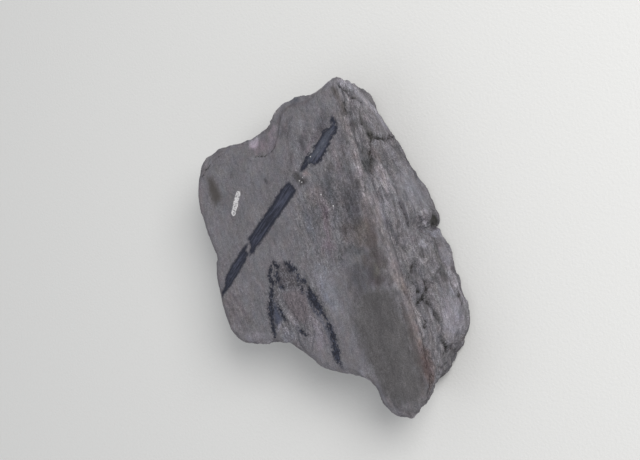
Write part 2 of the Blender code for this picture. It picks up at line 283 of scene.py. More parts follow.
# Seams where the rock is darker or paler in a soft line: the line with its half widths, then how much lighter,
# warmer and pinker it is. The hollow of the lower side is painted shade.
SEAMS = [
    (
        "left seam under the peak",
        [(11.3, 39.5, 21.4, 0.2), (12.7, 37.2, 21.4, 0.3), (14.0, 34.9, 21.3, 0.25), (15.2, 32.3, 21.1, 0.15)],
        (-0.6, 0.6, -0.3),
    ),
    (
        "right seam under the peak",
        [(15.9, 33.1, 14.7, 0.3), (17.0, 30.2, 14.2, 0.5), (17.8, 27.5, 13.4, 0.6), (18.5, 25.7, 13.5, 0.5)],
        (-0.5, 0.5, -0.5),
    ),
    (
        "pale facets of the peak",
        [
            (13.1, 41.5, 19.0, 0.8), (12.8, 40.4, 14.0, 1.2), (12.8, 38.6, 9.0, 1.6), (13.6, 36.0, 6.0, 1.6),
            (15.3, 32.8, 3.4, 1.2), (17.4, 29.0, 1.8, 0.6),
        ],
        (0.3, -0.2, 0.1),
    ),
    (
        "bright streak below the split",
        [(23.0, 17.0, 16.0, 0.4), (24.0, 15.2, 16.2, 0.8), (25.5, 13.2, 16.4, 0.9), (26.9, 10.7, 16.9, 0.4)],
        (0.4, 0.4, 0.3),
    ),
    (
        "lower half of the bright streak",
        [(22.8, 17.8, 15.0, 0.4), (24.6, 15.8, 14.5, 0.8), (26.0, 13.2, 14.8, 0.6), (26.8, 11.4, 15.4, 0.2)],
        (0.6, 0.3, 0.2),
    ),
    (
        "streak above the pit",
        [(28.3, 7.2, 13.5, 0.3), (30.2, 3.3, 13.5, 0.5), (31.4, 0.8, 13.3, 0.3)],
        (-0.3, -0.2, 0.4),
    ),
    (
        "streak beside the ridge",
        [(29.1, 2.2, 20.5, 0.1), (29.9, -0.5, 19.7, 0.3), (31.0, -3.5, 18.9, 0.2)],
        (-0.5, -0.3, 0.3),
    ),
    (
        "white streak of the ridge",
        [(26.0, 7.4, 20.9, 0.2), (26.4, 6.5, 20.9, 0.4), (27.8, 3.5, 21.0, 0.3)],
        (0.35, -0.1, 0.2),
    ),
    # Painted shade in the hollow of the lower side.
    (
        "hollow of the lower side",
        [(34.3, -2.8, 4.6, 0.5), (35.6, -6.1, 5.3, 0.8), (37.5, -10.5, 6.4, 0.7), (38.9, -13.7, 6.7, 0.3)],
        (-0.45, 0.4, -0.4),
    ),
    (
        "pale strip of the lower side",
        [(36.2, -4.7, 2.9, 0.6), (37.8, -7.8, 3.0, 1.0), (39.2, -11.6, 3.2, 1.2), (41.2, -16.0, 4.0, 1.0)],
        (0.3, 0.1, 0.2),
    ),
    ("short seam", [(34.3, -4.9, 10.9, 0.2), (34.7, -6.3, 10.9, 0.25), (35.1, -7.7, 11.6, 0.1)], (-0.2, -0.2, 0.0)),
    (
        "long seam of the lower side",
        [
            (38.7, -19.3, 14.8, 0.1), (40.2, -22.7, 13.3, 0.2), (41.1, -26.4, 12.9, 0.3), (41.0, -30.3, 11.0, 0.4),
            (40.8, -33.4, 8.0, 0.4),
        ],
        (-0.4, 0.0, -0.2),
    ),
    (
        "dark edge of the patch",
        [
            (33.8, -19.8, 21.1, 0.1), (35.4, -24.1, 21.2, 0.4), (37.3, -30.6, 21.2, 0.45), (38.9, -36.6, 21.2, 0.4),
            (40.4, -41.0, 21.2, 0.3),
        ],
        (-0.5, 1.0, 0.1),
    ),
    ("first line beside the scar", [(-5.1, 29.4, 22.1, 0.1), (-5.8, 26.5, 22.1, 0.1)], (-0.35, 0.0, 0.2)),
    ("second line beside the scar", [(-2.4, 31.8, 22.0, 0.1), (-3.0, 29.0, 22.0, 0.15), (-3.7, 26.5, 22.0, 0.1)], (-0.4, 0.0, 0.0)),
    ("third line beside the scar", [(-3.6, 31.4, 22.0, 0.05), (-4.6, 27.6, 22.0, 0.1)], (-0.25, 0.2, 0.4)),
    (
        "brown line along the top edge",
        [(-7.4, 30.6, 22.0, 0.1), (-5.7, 33.6, 21.8, 0.15), (-2.9, 35.4, 21.7, 0.15), (2.6, 35.9, 22.1, 0.1)],
        (-0.22, 0.5, 0.4),
    ),
    (
        "line in the corner's facet",
        [(-37.0, 17.0, 21.0, 0.1), (-33.6, 20.6, 21.0, 0.1), (-29.6, 23.2, 21.0, 0.05)],
        (-0.25, 0.2, 0.2),
    ),
    (
        "wrinkle left of the insect",
        [(-15.8, -13.6, 22.0, 0.1), (-13.6, -15.6, 22.0, 0.15), (-12.4, -16.6, 22.0, 0.05)],
        (0.25, 0.3, 0.0),
    ),
    (
        "first wrinkle of the lower left",
        [(-26.4, -21.0, 22.0, 0.1), (-22.8, -24.4, 22.0, 0.1), (-19.4, -28.6, 22.0, 0.05)],
        (-0.18, 0.3, 0.4),
    ),
    (
        "second wrinkle of the lower left",
        [(-24.6, -18.6, 22.0, 0.05), (-20.8, -21.6, 22.0, 0.15), (-18.2, -25.4, 22.0, 0.05)],
        (-0.2, 0.2, 0.5),
    ),
    ("streak left of the pink ground", [(4.6, 6.4, 22.0, 0.2), (5.6, 3.4, 22.0, 0.4), (7.1, 0.0, 22.0, 0.2)], (-0.28, -0.3, 0.0)),
    (
        "pale streak beside the hollow",
        [(18.6, 20.4, 21.2, 0.3), (19.8, 17.2, 21.2, 0.4), (21.0, 14.0, 21.1, 0.4), (22.3, 10.2, 21.1, 0.3)],
        (0.24, 0.2, 0.4),
    ),
    (
        "cream streak of the ridge's middle",
        [(29.9, -6.6, 21.2, 0.3), (30.6, -9.4, 21.2, 0.6), (31.2, -12.6, 21.2, 0.6), (32.2, -15.4, 21.2, 0.3)],
        (0.26, 0.4, 0.0),
    ),
    (
        "pale streak of the ridge's foot",
        [(35.8, -18.4, 20.6, 0.3), (37.5, -21.8, 20.3, 0.6), (39.0, -26.6, 20.2, 0.6), (39.8, -30.2, 20.3, 0.3)],
        (0.34, 0.5, 0.0),
    ),
    ("pale vein", [(-4.8, -22.4, 22.0, 0.15), (-2.8, -24.6, 22.0, 0.25), (-0.8, -26.8, 22.0, 0.15)], (0.25, 0.2, 0.3)),
    ("second pale vein", [(-2.0, -20.8, 22.0, 0.1), (0.2, -23.4, 22.0, 0.2), (1.8, -25.6, 22.0, 0.1)], (0.18, 0.2, 0.4)),
]

# Soft spots of colour: the middle, the half sizes across, along and up, and the turn of the long axis, then how
# much lighter, warmer and pinker than plain shale the rock is there. Some are painted shade or painted highlights.
TINTS = [
    ("dark band beside the ridge", (17.6, 7.0, 22.0), (2.8, 8.0, 9.0), 19.0, -0.5, -0.1, 0.2),
    ("dark core of the band", (18.4, 6.6, 22.0), (1.6, 5.0, 9.0), 14.0, -0.3, -0.2, 0.1),
    ("dark ground by the stem's gap", (10.6, 11.4, 22.0), (2.8, 3.6, 9.0), 20.0, -0.5, -0.2, 0.0),
    ("dark spot at the band's foot", (16.0, 0.8, 22.0), (1.4, 1.6, 9.0), 0.0, -0.4, 0.2, 0.0),
    ("top of the dark band", (15.7, 18.4, 22.0), (1.5, 4.8, 9.0), 19.0, -0.4, 0.1, 0.1),
    ("dark ground by the stem's top", (14.8, 24.6, 22.0), (1.3, 3.2, 9.0), 19.0, -0.36, 0.1, 0.2),
    ("dark ground left of the stem's top", (7.2, 27.4, 22.0), (1.3, 2.6, 9.0), -25.0, -0.34, 0.0, 0.4),
    ("brown foot of the band", (17.0, -0.8, 22.0), (2.2, 3.8, 9.0), 19.0, -0.3, 0.9, 0.2),
    ("olive ground below the band", (21.4, -0.4, 22.0), (2.4, 4.4, 9.0), 19.0, -0.26, 1.4, -0.3),
    ("brown streak beside the ridge", (23.4, 2.6, 22.0), (1.3, 7.5, 9.0), 19.0, -0.36, 1.1, 0.5),
    ("brown ground beside the ridge", (25.0, -4.4, 22.0), (1.9, 5.5, 9.0), 19.0, -0.45, 0.9, 0.1),
    ("dark spot right of the stem", (11.2, 17.2, 22.0), (1.5, 1.8, 9.0), 0.0, -0.35, 0.0, 0.0),
    ("brown streak of the middle", (8.4, 5.2, 22.0), (0.9, 4.5, 9.0), 19.0, -0.2, 0.5, 0.5),
    ("dark ground above the patch", (20.4, -13.0, 22.0), (3.8, 4.2, 9.0), 10.0, -0.55, -0.3, 0.1),
    ("brown ground above the patch", (26.4, -9.4, 22.0), (1.9, 6.0, 9.0), 19.0, -0.55, 0.5, 0.1),
    ("purple ground above the patch", (25.2, -13.4, 22.0), (1.9, 2.2, 9.0), 0.0, -0.35, 0.2, 0.8),
    ("dark crescent", (18.6, -5.4, 22.0), (4.0, 1.4, 9.0), 0.0, -0.46, -0.3, -0.2),
    ("end of the dark crescent", (15.2, -7.4, 22.0), (1.7, 1.6, 9.0), 0.0, -0.42, 0.0, 0.0),
    ("brown ground below the crescent", (23.2, -8.4, 22.0), (1.8, 3.2, 9.0), 12.0, -0.62, 0.8, 0.1),
    ("brown ground above the crescent", (19.8, -3.0, 22.0), (1.6, 2.0, 9.0), 0.0, -0.34, 0.6, 0.0),
    ("brown ground left of the cream streak", (28.4, -7.8, 22.0), (0.9, 3.2, 9.0), 19.0, -0.42, 0.5, 0.1),
    ("foot of that brown ground", (29.7, -13.6, 22.0), (0.9, 2.4, 9.0), 19.0, -0.38, 0.3, 0.1),
    ("dark ground beside the rubbed band", (19.0, 11.6, 22.0), (1.1, 4.8, 9.0), 19.0, -0.75, -0.1, 0.1),
    ("brown ground at the patch's head", (26.8, -14.6, 22.0), (1.4, 2.0, 9.0), 0.0, -0.55, 1.0, 0.2),
    ("dark edge of the rubbed band", (27.2, -1.4, 22.0), (0.7, 3.0, 9.0), 19.0, -0.4, 0.3, 0.1),
    ("dark start of the lower band", (30.9, -15.4, 22.0), (0.7, 2.6, 9.0), 19.0, -0.35, 0.2, 0.0),
    ("dark corner of the patch", (31.6, -20.2, 22.0), (0.9, 2.4, 9.0), 19.0, -0.35, 0.1, 0.0),
    ("dark left corner of the patch", (20.4, -19.0, 22.0), (1.3, 1.6, 9.0), 0.0, -0.35, 0.1, 0.0),
    ("dark spot left of the band", (14.8, 4.2, 22.0), (1.1, 1.8, 9.0), 19.0, -0.32, 0.0, 0.0),
    ("dark spot above the crescent", (13.8, -5.3, 22.0), (1.2, 1.3, 9.0), 0.0, -0.35, 0.0, 0.0),
    ("pink edge of the scar", (-9.6, 28.4, 22.0), (1.4, 2.6, 9.0), -15.0, 0.35, 0.5, 1.2),
    ("purple ground below the crescent", (24.8, -11.6, 22.0), (1.2, 1.8, 9.0), 0.0, -0.5, 0.0, 0.2),
    ("dark ground right of the thin band", (22.1, 12.2, 20.9), (0.7, 2.6, 1.5), 19.0, -0.5, 0.0, -0.8),
    # The next two are painted shade around the hollow under the ridge.
    ("dark edge of the hollow", (20.9, 17.4, 20.8), (0.7, 2.6, 1.2), 17.0, -0.5, 0.0, -0.4),
    ("dark ground above the hollow", (18.9, 23.2, 20.0), (0.7, 2.6, 1.4), 17.0, -0.5, 0.0, 0.0),
    ("cool spot of the top edge", (-1.8, 36.8, 21.8), (2.0, 1.0, 3.0), 0.0, -0.3, -0.9, 0.0),
    ("dark ground left of the dark band", (13.4, 7.5, 22.0), (1.3, 2.6, 9.0), 19.0, -0.34, 0.0, 0.0),
    ("dark head of the patch", (21.0, -17.0, 22.0), (1.7, 1.6, 9.0), 0.0, -0.3, 0.1, 0.1),
    ("olive spot above the patch", (26.0, -11.2, 22.0), (1.0, 1.8, 9.0), 19.0, 0.1, 1.0, -1.0),
    ("pink streak of the middle", (10.3, 1.6, 22.0), (1.3, 7.5, 9.0), 10.0, -0.02, 0.5, 1.2),
    ("purple spot of the middle", (10.2, 4.6, 22.0), (0.7, 1.9, 9.0), 15.0, -0.4, 0.1, 0.7),
    ("pink spot of the middle", (10.4, -5.0, 22.0), (2.6, 2.2, 9.0), 0.0, 0.0, 0.4, 1.0),
    ("pink ground right of the gap", (6.4, 9.4, 22.0), (3.4, 2.6, 9.0), 19.0, 0.12, 0.8, 0.4),
    ("blue ground of the middle", (4.0, 2.4, 22.0), (1.3, 4.4, 9.0), 22.0, -0.12, -0.8, 0.0),
    ("pale blue band right of the insect", (10.4, -16.5, 22.0), (3.0, 8.0, 9.0), 27.0, 0.26, -0.9, 0.2),
    ("pale lilac spot right of the insect", (10.2, -18.4, 22.0), (1.2, 1.6, 9.0), 0.0, 0.2, -0.6, 0.4),
    ("pale ground below the peak", (1.0, 30.0, 22.0), (2.0, 4.0, 9.0), 5.0, 0.16, -0.1, 0.0),
    ("smear beside the stem's top", (8.8, 31.0, 22.0), (1.8, 3.6, 9.0), -15.0, -0.45, -0.2, 0.0),
    ("smear left of the stem's top", (1.8, 25.4, 22.0), (1.1, 4.2, 9.0), -12.0, -0.5, -0.1, 0.3),
    ("smear above the gap", (-2.2, 19.4, 22.0), (1.2, 3.2, 9.0), -16.0, -0.2, 0.0, 0.3),
    ("pink ground left of the stem's top", (4.2, 24.0, 22.0), (1.2, 3.6, 9.0), -34.0, -0.08, 0.3, 1.1),
    ("pink ground right of the stem's top", (13.2, 19.6, 22.0), (1.0, 5.0, 9.0), 19.0, 0.06, 0.6, 0.5),
    ("pink flake scar", (-12.6, 24.4, 22.0), (5.5, 2.2, 9.0), 10.0, 0.1, 0.6, 1.1),
    ("pale lobe of the scar", (-16.7, 25.2, 21.0), (2.0, 1.8, 3.0), 0.0, 0.85, 0.2, 1.1),
    ("pale corner facet", (-32.6, 20.6, 20.5), (3.6, 1.8, 4.0), 35.0, 0.3, 0.2, 0.2),
    ("warm lower left", (-23.5, -23.0, 22.0), (5.0, 7.0, 9.0), 15.0, -0.04, 0.5, 0.2),
    ("pale lower edge", (-16.0, -31.5, 21.5), (7.0, 1.8, 6.0), 0.0, 0.3, -0.1, 0.3),
    ("dark spot in the upper left", (-23.6, 17.0, 22.0), (1.1, 1.8, 9.0), 0.0, -0.22, 0.0, 0.0),
    ("dark pits left of the stem", (-11.6, 13.8, 22.0), (0.8, 1.4, 9.0), 0.0, -0.4, 0.0, 0.0),
    ("pink flake in the stem's gap", (3.6, 15.8, 22.0), (1.7, 0.7, 9.0), -20.0, 0.3, 1.3, 0.6),
    ("rubble in the stem's gap", (-0.3, 14.9, 22.0), (1.1, 1.6, 9.0), -20.0, -0.95, 0.3, -0.2),
    ("lower rubble in the stem's gap", (1.6, 14.0, 22.0), (1.2, 1.3, 9.0), 0.0, -0.95, 0.2, 0.0),
    ("pale foot of the wings", (-2.8, -30.2, 22.0), (2.4, 2.6, 9.0), 20.0, 0.3, -0.7, 0.3),
    ("pale ground between the wings", (7.4, -30.0, 22.0), (2.4, 5.5, 9.0), 15.0, 0.26, 0.1, 0.7),
    ("pale ground left of the short vein", (4.6, -25.4, 22.0), (2.0, 3.0, 9.0), 20.0, 0.2, 0.0, 0.5),
    ("pale ground outside the insect", (17.4, -33.0, 22.0), (2.0, 5.0, 9.0), 20.0, 0.0, 0.1, 0.0),
    ("pale lilac foot of the left wing", (-6.6, -28.0, 22.0), (0.9, 1.2, 9.0), 0.0, 0.5, -1.0, 0.6),
    ("pale ground right of the right wing", (12.3, -22.8, 22.0), (1.3, 2.0, 9.0), 20.0, 0.24, 0.0, 0.2),
    ("pale lower left corner", (-24.0, -28.8, 21.6), (1.8, 1.3, 6.0), 0.0, 0.4, 0.0, 0.2),
    ("pale left edge of the tip", (22.4, -40.4, 21.0), (1.3, 2.8, 4.0), 22.0, 0.6, 0.0, 0.1),
    ("pale lower edge of the tip", (29.6, -46.9, 21.0), (2.6, 1.0, 4.0), -35.0, 0.3, 0.0, 0.1),
    ("dark lower edge of the tip", (37.2, -48.3, 20.8), (2.2, 1.0, 2.4), 10.0, -0.32, 0.2, 0.0),
    ("warm left edge", (-36.0, 8.0, 21.5), (1.4, 9.0, 5.0), -5.0, 0.08, 0.5, 0.4),
    ("dark end of the tip", (40.4, -45.0, 19.5), (2.4, 3.4, 3.0), 20.0, -0.35, 0.4, 0.1),
    ("pale tip of the peak", (13.2, 41.4, 17.0), (2.6, 2.2, 4.0), 0.0, 0.5, -0.1, 0.1),
    ("pale corner of the peak", (15.0, 37.0, 19.4), (0.9, 4.2, 1.5), 18.0, 0.6, 0.0, 0.1),
    ("dark strip below that corner", (16.4, 31.0, 17.8), (0.7, 2.4, 1.4), 17.0, -0.5, 0.0, 0.0),
    ("dark ground below the peak's corner", (17.2, 29.6, 19.5), (0.9, 3.2, 1.5), 17.0, -0.75, 0.0, 0.0),
    ("dark ground above the split", (19.0, 25.2, 16.6), (1.0, 1.9, 2.0), 17.0, -0.6, 0.0, 0.0),
    ("dark ground at the split", (18.2, 26.8, 13.0), (0.9, 1.0, 1.4), 0.0, -0.15, 0.0, -0.3),
    # Painted shadow cast by the block above the split.
    ("dark ground under the split", (20.0, 24.9, 7.2), (1.1, 1.0, 1.6), 0.0, -0.8, 0.0, 0.0),
    # Painted shade of the hollow under the ridge.
    ("dark hollow beside the ridge", (21.3, 18.8, 18.9), (1.5, 5.0, 2.8), 17.0, -0.8, -0.1, -0.5),
    ("brown hollow below the split", (21.4, 21.1, 14.4), (1.2, 3.0, 1.8), 17.0, -0.3, 1.1, 0.3),
    ("grey ground below the bright streak", (27.4, 8.6, 15.4), (1.8, 3.6, 2.4), 19.0, -0.32, -0.2, 0.0),
    ("smooth block", (28.4, 12.0, 7.0), (3.6, 8.0, 4.5), 19.0, 0.08, -0.5, 0.1),
    ("white spot of the smooth block", (24.7, 18.4, 6.2), (1.3, 1.8, 2.2), 19.0, 0.52, 0.1, 0.0),
    # Painted shade at the foot of the smooth block.
    ("dark foot of the smooth block", (24.4, 19.2, 1.5), (1.5, 3.0, 1.5), 17.0, -0.45, 0.0, 0.0),
    ("cool shade of the smooth block", (29.2, 9.7, 11.3), (1.2, 2.0, 1.4), 19.0, -0.28, -0.5, 0.0),
    ("shade above the smooth block", (27.2, 11.4, 13.6), (0.8, 1.8, 1.2), 19.0, -0.36, 0.0, 0.0),
    ("brown ground above the bright streak", (22.6, 16.6, 17.8), (0.8, 2.0, 1.1), 19.0, -0.32, 0.9, 0.2),
    ("dark ground below the white streak", (27.1, 8.0, 18.2), (0.8, 1.8, 1.2), 19.0, -0.42, 0.0, 0.0),
    ("dark ground right of the ridge", (28.0, 5.2, 19.2), (0.8, 2.2, 1.2), 19.0, -0.35, 0.0, 0.0),
    ("pale ground left of the pit", (31.7, 3.2, 6.4), (0.9, 1.9, 2.4), 0.0, 0.6, 0.0, 0.1),
    ("pale lip left of the pit", (31.0, 2.0, 4.4), (0.8, 1.2, 1.6), 0.0, 0.55, 0.0, 0.1),
    ("pale lip above the pit", (32.0, 4.7, 6.2), (0.7, 1.1, 1.6), 0.0, 0.5, 0.0, 0.1),
    # Painted shade under the lower end of the block with the pit.
    ("dark ground below the pit", (32.3, 0.1, 2.0), (0.9, 0.9, 1.2), 0.0, -0.38, 0.0, 0.0),
    # The next two are painted highlights on the ledge under the pit, where it faces the light.
    ("ledge under the pit", (33.8, -1.0, 3.0), (2.4, 1.5, 3.5), 0.0, 0.22, -0.6, 0.3),
    ("end of the ledge", (36.1, -2.8, 2.5), (1.2, 1.3, 1.4), 0.0, 0.28, -0.2, 0.1),
    ("lilac spot", (33.6, -3.6, 10.3), (1.2, 1.6, 1.6), 0.0, 0.8, -0.6, 0.5),
    ("white spot below the lilac one", (35.2, -8.2, 12.2), (0.8, 1.3, 1.2), 0.0, 0.75, 0.1, 0.1),
    ("splintered hollow", (36.0, -15.0, 16.0), (1.8, 4.5, 2.4), 19.0, -0.2, -0.2, 0.0),
    ("dark ground above the splinters", (34.7, -9.4, 14.2), (1.0, 1.8, 1.4), 15.0, -0.55, 0.0, 0.0),
    ("dark head of the splinters", (34.9, -11.2, 15.8), (0.8, 1.5, 1.1), 15.0, -0.4, 0.0, 0.0),
    ("pale ground below the short seam", (37.2, -12.9, 10.6), (1.2, 1.7, 1.5), 15.0, 0.5, 0.0, 0.0),
    ("dark ground under the splinters", (38.3, -17.9, 13.9), (0.9, 1.4, 1.2), 15.0, -0.6, 0.0, 0.0),
    ("pale ground left of the splinters", (36.2, -18.2, 19.8), (0.7, 1.6, 1.1), 17.0, 0.28, 0.0, 0.0),
    ("dark foot of the pale strip", (39.7, -10.8, 2.2), (0.9, 2.0, 1.2), 14.0, -0.32, 0.0, 0.0),
    ("dark ground below the splinters", (38.4, -21.0, 15.6), (1.3, 2.2, 1.8), 15.0, -0.3, 0.0, 0.0),
    ("pale start of the swelling", (40.9, -17.0, 6.9), (1.1, 1.5, 1.2), 14.0, 0.3, -0.2, 0.2),
    ("pale spot of the long seam", (39.8, -22.2, 14.9), (0.7, 1.5, 1.0), 14.0, 0.36, 0.0, 0.0),
    # Painted highlight on the swelling that faces the light, with a cool lilac tint.
    ("pale swelling", (42.2, -23.6, 8.0), (2.8, 6.6, 4.0), 14.0, 0.42, -0.4, 0.4),
    ("dark foot of the swelling", (42.5, -29.4, 1.8), (1.3, 3.0, 1.7), 14.0, -0.5, 0.0, 0.0),
    ("dark foot of the lower side", (40.4, -35.0, 3.5), (2.6, 4.6, 3.4), 15.0, -0.5, 0.0, 0.0),
    ("dark ground above that foot", (39.9, -35.0, 8.2), (0.9, 1.6, 1.4), 15.0, -0.3, 0.0, 0.0),
    ("dark spot at the ridge's foot", (39.6, -26.0, 18.0), (1.5, 3.2, 1.6), 15.0, -0.4, 0.0, 0.0),
    ("rusty end of the ridge", (41.0, -36.4, 20.4), (1.5, 6.8, 2.8), 17.0, -0.6, 3.0, 1.6),
    ("brown foot of the ridge", (37.6, -27.0, 21.0), (1.1, 5.5, 1.5), 16.0, -0.15, 1.4, 0.4),
    ("brown ridge", (34.4, -15.6, 21.0), (1.2, 5.0, 1.5), 18.0, 0.0, 1.0, 0.1),
    ("warm ridge", (26.4, 4.0, 21.0), (1.0, 7.0, 1.5), 20.0, 0.05, 0.6, 0.0),
]

# Where the face's grain is coarser or calmer than elsewhere: the middle, the radius and by how much.
COARSER = [
    ((-1.0, -22.0), 12.0, 1.9),
    ((10.0, 0.0), 13.0, 1.2),
    ((12.0, 18.0), 18.0, 0.9),
    ((-22.0, -24.0), 10.0, 0.4),
]

# How deep the split underside is hollowed, in millimetres.
UNDERSIDE_DEPTH = 0.8

# Small pits and bright mineral specks of the face: place and radius.
PITS = [(-12.0, 13.9, 0.7), (-11.0, 13.0, 0.5), (2.7, 36.0, 0.45), (-0.2, 15.2, 0.6), (1.2, 14.0, 0.7)]
SPECKS = [
    (8.1, 9.9, 0.22), (12.2, 6.7, 0.22), (1.7, 14.8, 0.15), (1.4, 13.5, 0.18), (0.6, 13.9, 0.14), (4.5, 20.6, 0.16),
]


def smooth_step(low, high, values):
    share = np.clip((values - low) / (high - low), 0.0, 1.0)
    return share * share * (3.0 - 2.0 * share)


def distance_to_line(places, line):
    """How far each place is outside a line whose last column is its half width."""
    points = np.array(line, dtype=float)
    closest = np.full(len(places), np.inf)
    for start, end in zip(points, points[1:]):
        step = end[:-1] - start[:-1]
        share = np.clip((places - start[:-1]) @ step / (step @ step), 0.0, 1.0)
        nearest = start[:-1] + share[:, None] * step
        half_width = start[-1] + share * (end[-1] - start[-1])
        closest = np.minimum(closest, np.linalg.norm(places - nearest, axis=1) - half_width)
    return closest


def distance_to_outline(places, outline):
    """How far each place on the face is from a closed outline, negative inside it."""
    points = np.array(outline, dtype=float)
    closest = np.full(len(places), np.inf)
    inside = np.zeros(len(places), dtype=bool)
    for start, end in zip(points, np.roll(points, -1, axis=0)):
        step = end - start
        share = np.clip((places - start) @ step / (step @ step), 0.0, 1.0)
        closest = np.minimum(closest, np.linalg.norm(places - start - share[:, None] * step, axis=1))
        rises = (start[1] > places[:, 1]) != (end[1] > places[:, 1])
        if abs(step[1]) > 1e-9:
            crossing = start[0] + (places[:, 1] - start[1]) * step[0] / step[1]
            inside ^= rises & (places[:, 0] < crossing)
    return np.where(inside, -closest, closest)


def noise_at(places, size, seed=0.0):
    """Smooth noise, from about -1 to 1, whose lumps are as large as the given size or (x, y, z) sizes."""
    scaled = places / np.array(size, dtype=float) + seed
    return np.array([noise.noise(Vector(place)) for place in scaled])


def rough_noise_at(places, size, seed=0.0, octaves=4):
    """Noise with finer and finer lumps on the larger ones."""
    scaled = places / np.array(size, dtype=float) + seed
    return np.array([noise.fractal(Vector(place), 1.0, 2.0, octaves) for place in scaled])


def turned(places, angle):
    """Places in axes that are turned so that y runs along a direction leaning by the angle."""
    cosine, sine = math.cos(angle), math.sin(angle)
    across = places[:, 0] * cosine + places[:, 1] * sine
    along = places[:, 1] * cosine - places[:, 0] * sine
    return np.column_stack((across, along, places[:, 2]))


class StoneSurface:
    """The vertices of the stone as arrays in millimetres from FACE_ORIGIN."""

    def __init__(self, mesh):
        self.mesh = mesh
        count = len(mesh.vertices)
        places = np.empty(count * 3)
        normals = np.empty(count * 3)
        mesh.vertices.foreach_get("co", places)
        mesh.vertices.foreach_get("normal", normals)
        self.places = places.reshape(-1, 3) / MM - np.array(FACE_ORIGIN)
        self.normals = normals.reshape(-1, 3)
        self.face = smooth_step(0.55, 0.93, self.normals[:, 2])
        self.underside = smooth_step(0.6, 0.95, -self.normals[:, 2])
        self.wall = np.clip(1.0 - self.face - self.underside, 0.0, 1.0)
        outward = self.normals * (1.0, 1.0, 0.0)
        self.outward = outward / np.maximum(np.linalg.norm(outward, axis=1), 1e-6)[:, None]
        self.thick_side = smooth_step(-0.3, 0.5, self.outward[:, 0])

    def move(self, offsets):
        """Puts the vertices at their place plus these offsets."""
        moved = (self.places + offsets + np.array(FACE_ORIGIN)) * MM
        self.mesh.vertices.foreach_set("co", moved.ravel())
        self.mesh.update()

    def keep(self, name, values):
        """Keeps one number for each vertex, for the materials to read."""
        attribute = self.mesh.attributes.new(name, "FLOAT", "POINT")
        attribute.data.foreach_set("value", np.asarray(values, dtype=np.float32))


def lamina_steps(surface, thickness, seed):
    """How far each bed of this thickness stands out of the wall, from about -1 to 1, with sharp steps."""
    places = surface.places
    drift = 0.9 * noise_at(places, (15.0, 15.0, 60.0), seed) + 0.35 * noise_at(places, (4.0, 4.0, 30.0), seed + 3.0)
    height = (places[:, 2] + drift) / thickness
    bed = np.floor(height)
    share = smooth_step(0.72, 1.0, height - bed)
    levels = []
    for number in (bed, bed + 1.0):
        spots = np.column_stack((places[:, 0] / 7.0, places[:, 1] / 7.0, number * 7.31 + seed))
        levels.append(np.array([noise.noise(Vector(spot)) for spot in spots]))
    return levels[0] * (1.0 - share) + levels[1] * share


def chip_facets(surface, size, seed):
    """Small tilted facets like those of chipped rock: how far each vertex stands out, from about -1 to 1."""
    draw = np.random.default_rng(seed)
    stretched = surface.places * (1.0, 1.0, 1.7) / size
    bent = stretched + 0.3 * np.column_stack([noise_at(surface.places, 0.9 * size, seed + axis) for axis in range(3)])
    low, high = bent.min(axis=0), bent.max(axis=0)
    middles = draw.uniform(low, high, (int(np.prod(high - low)), 3))
    tilts = draw.uniform(-1.0, 1.0, (len(middles), 3))
    tree = kdtree.KDTree(len(middles))
    for index, middle in enumerate(middles):
        tree.insert(middle, index)
    tree.balance()
    found = [tree.find_n(place, 2) for place in bent]
    first, second = (np.array([pair[order][1] for pair in found]) for order in (0, 1))
    gap = np.array([pair[1][2] - pair[0][2] for pair in found])
    heights = [np.sum(tilts[cell] * (bent - middles[cell]), axis=1) + 0.5 * tilts[cell, 0] for cell in (first, second)]
    share = 0.5 + 0.5 * smooth_step(0.0, 0.12, gap)
    return heights[0] * share + heights[1] * (1.0 - share)


def wall_relief(surface, settings):
    """How far the broken walls stand out, in millimetres."""
    places = surface.places
    along_ridge = turned(places, RIDGE_TURN)
    beds = lamina_steps(surface, 2.6, 11.0) * 0.4 + lamina_steps(surface, 1.0, 29.0) * 0.18
    chips = 0.6 * chip_facets(surface, 5.0, 5) + 0.14 * chip_facets(surface, 1.9, 6)
    fracture = 0.22 * rough_noise_at(places, (5.0, 5.0, 3.0), 5.0, 4)
    splinters = 0.3 * noise_at(along_ridge, (1.0, 7.0, 1.2), 37.0) + 0.3 * noise_at(along_ridge, (2.4, 10.0, 2.6), 43.0)
    rough = beds + (chips + fracture + splinters) * (0.4 + 0.6 * surface.thick_side)
    return settings.wall_relief / MM * rough * (1.0 - 0.7 * smoothness(places))


def smoothness(places):
    """How far each vertex is into one of the blocks with smooth faces, from 0 to 1."""
    amount = np.zeros(len(places))
    for middle, half_sizes in SMOOTH_BLOCKS:
        away = np.linalg.norm((places - np.array(middle)) / np.array(half_sizes), axis=1)
        amount = np.maximum(amount, 1.0 - smooth_step(0.5, 1.2, away))
    return amount


def face_relief(surface, settings):
    """How far the fossil face stands up, in millimetres."""
    places = surface.places
    swells = 0.45 * rough_noise_at(places, 12.0, 17.0, 3)
    streaks = 0.22 * noise_at(turned(places, RIDGE_TURN), (1.3, 4.0, 3.0), 23.0)
    grain = 0.4 * rough_noise_at(places, 1.5, 31.0, 2)
    return settings.face_relief / MM * (swells + streaks + grain)


def ridge_terraces(surface):
    """The small steps in which the face breaks down towards the ridge, in millimetres."""
    flat = surface.places[:, :2]
    distance = distance_to_line(flat, [(*point, 0.0) for point in RIDGE])
    wander = 1.3 * noise_at(turned(surface.places, RIDGE_TURN), (1.8, 9.0, 9.0), 41.0)
    drop = np.zeros(len(flat))
    for edge, depth in ((1.3, 0.35), (3.2, 0.22), (5.4, 0.16)):
        drop -= depth * (1.0 - smooth_step(edge - 0.25, edge + 0.25, distance + wander))
    return drop


def flake_scars(surface):
    """How far the lost flakes lower the face, in millimetres."""
    flat = surface.places[:, :2]
    wander = 0.3 * noise_at(surface.places, 2.5, 53.0)
    drop = np.zeros(len(flat))
    for outline, depth, slope in FLAKES:
        drop -= depth * smooth_step(-0.2, slope, -distance_to_outline(flat, outline) + wander)
    return drop


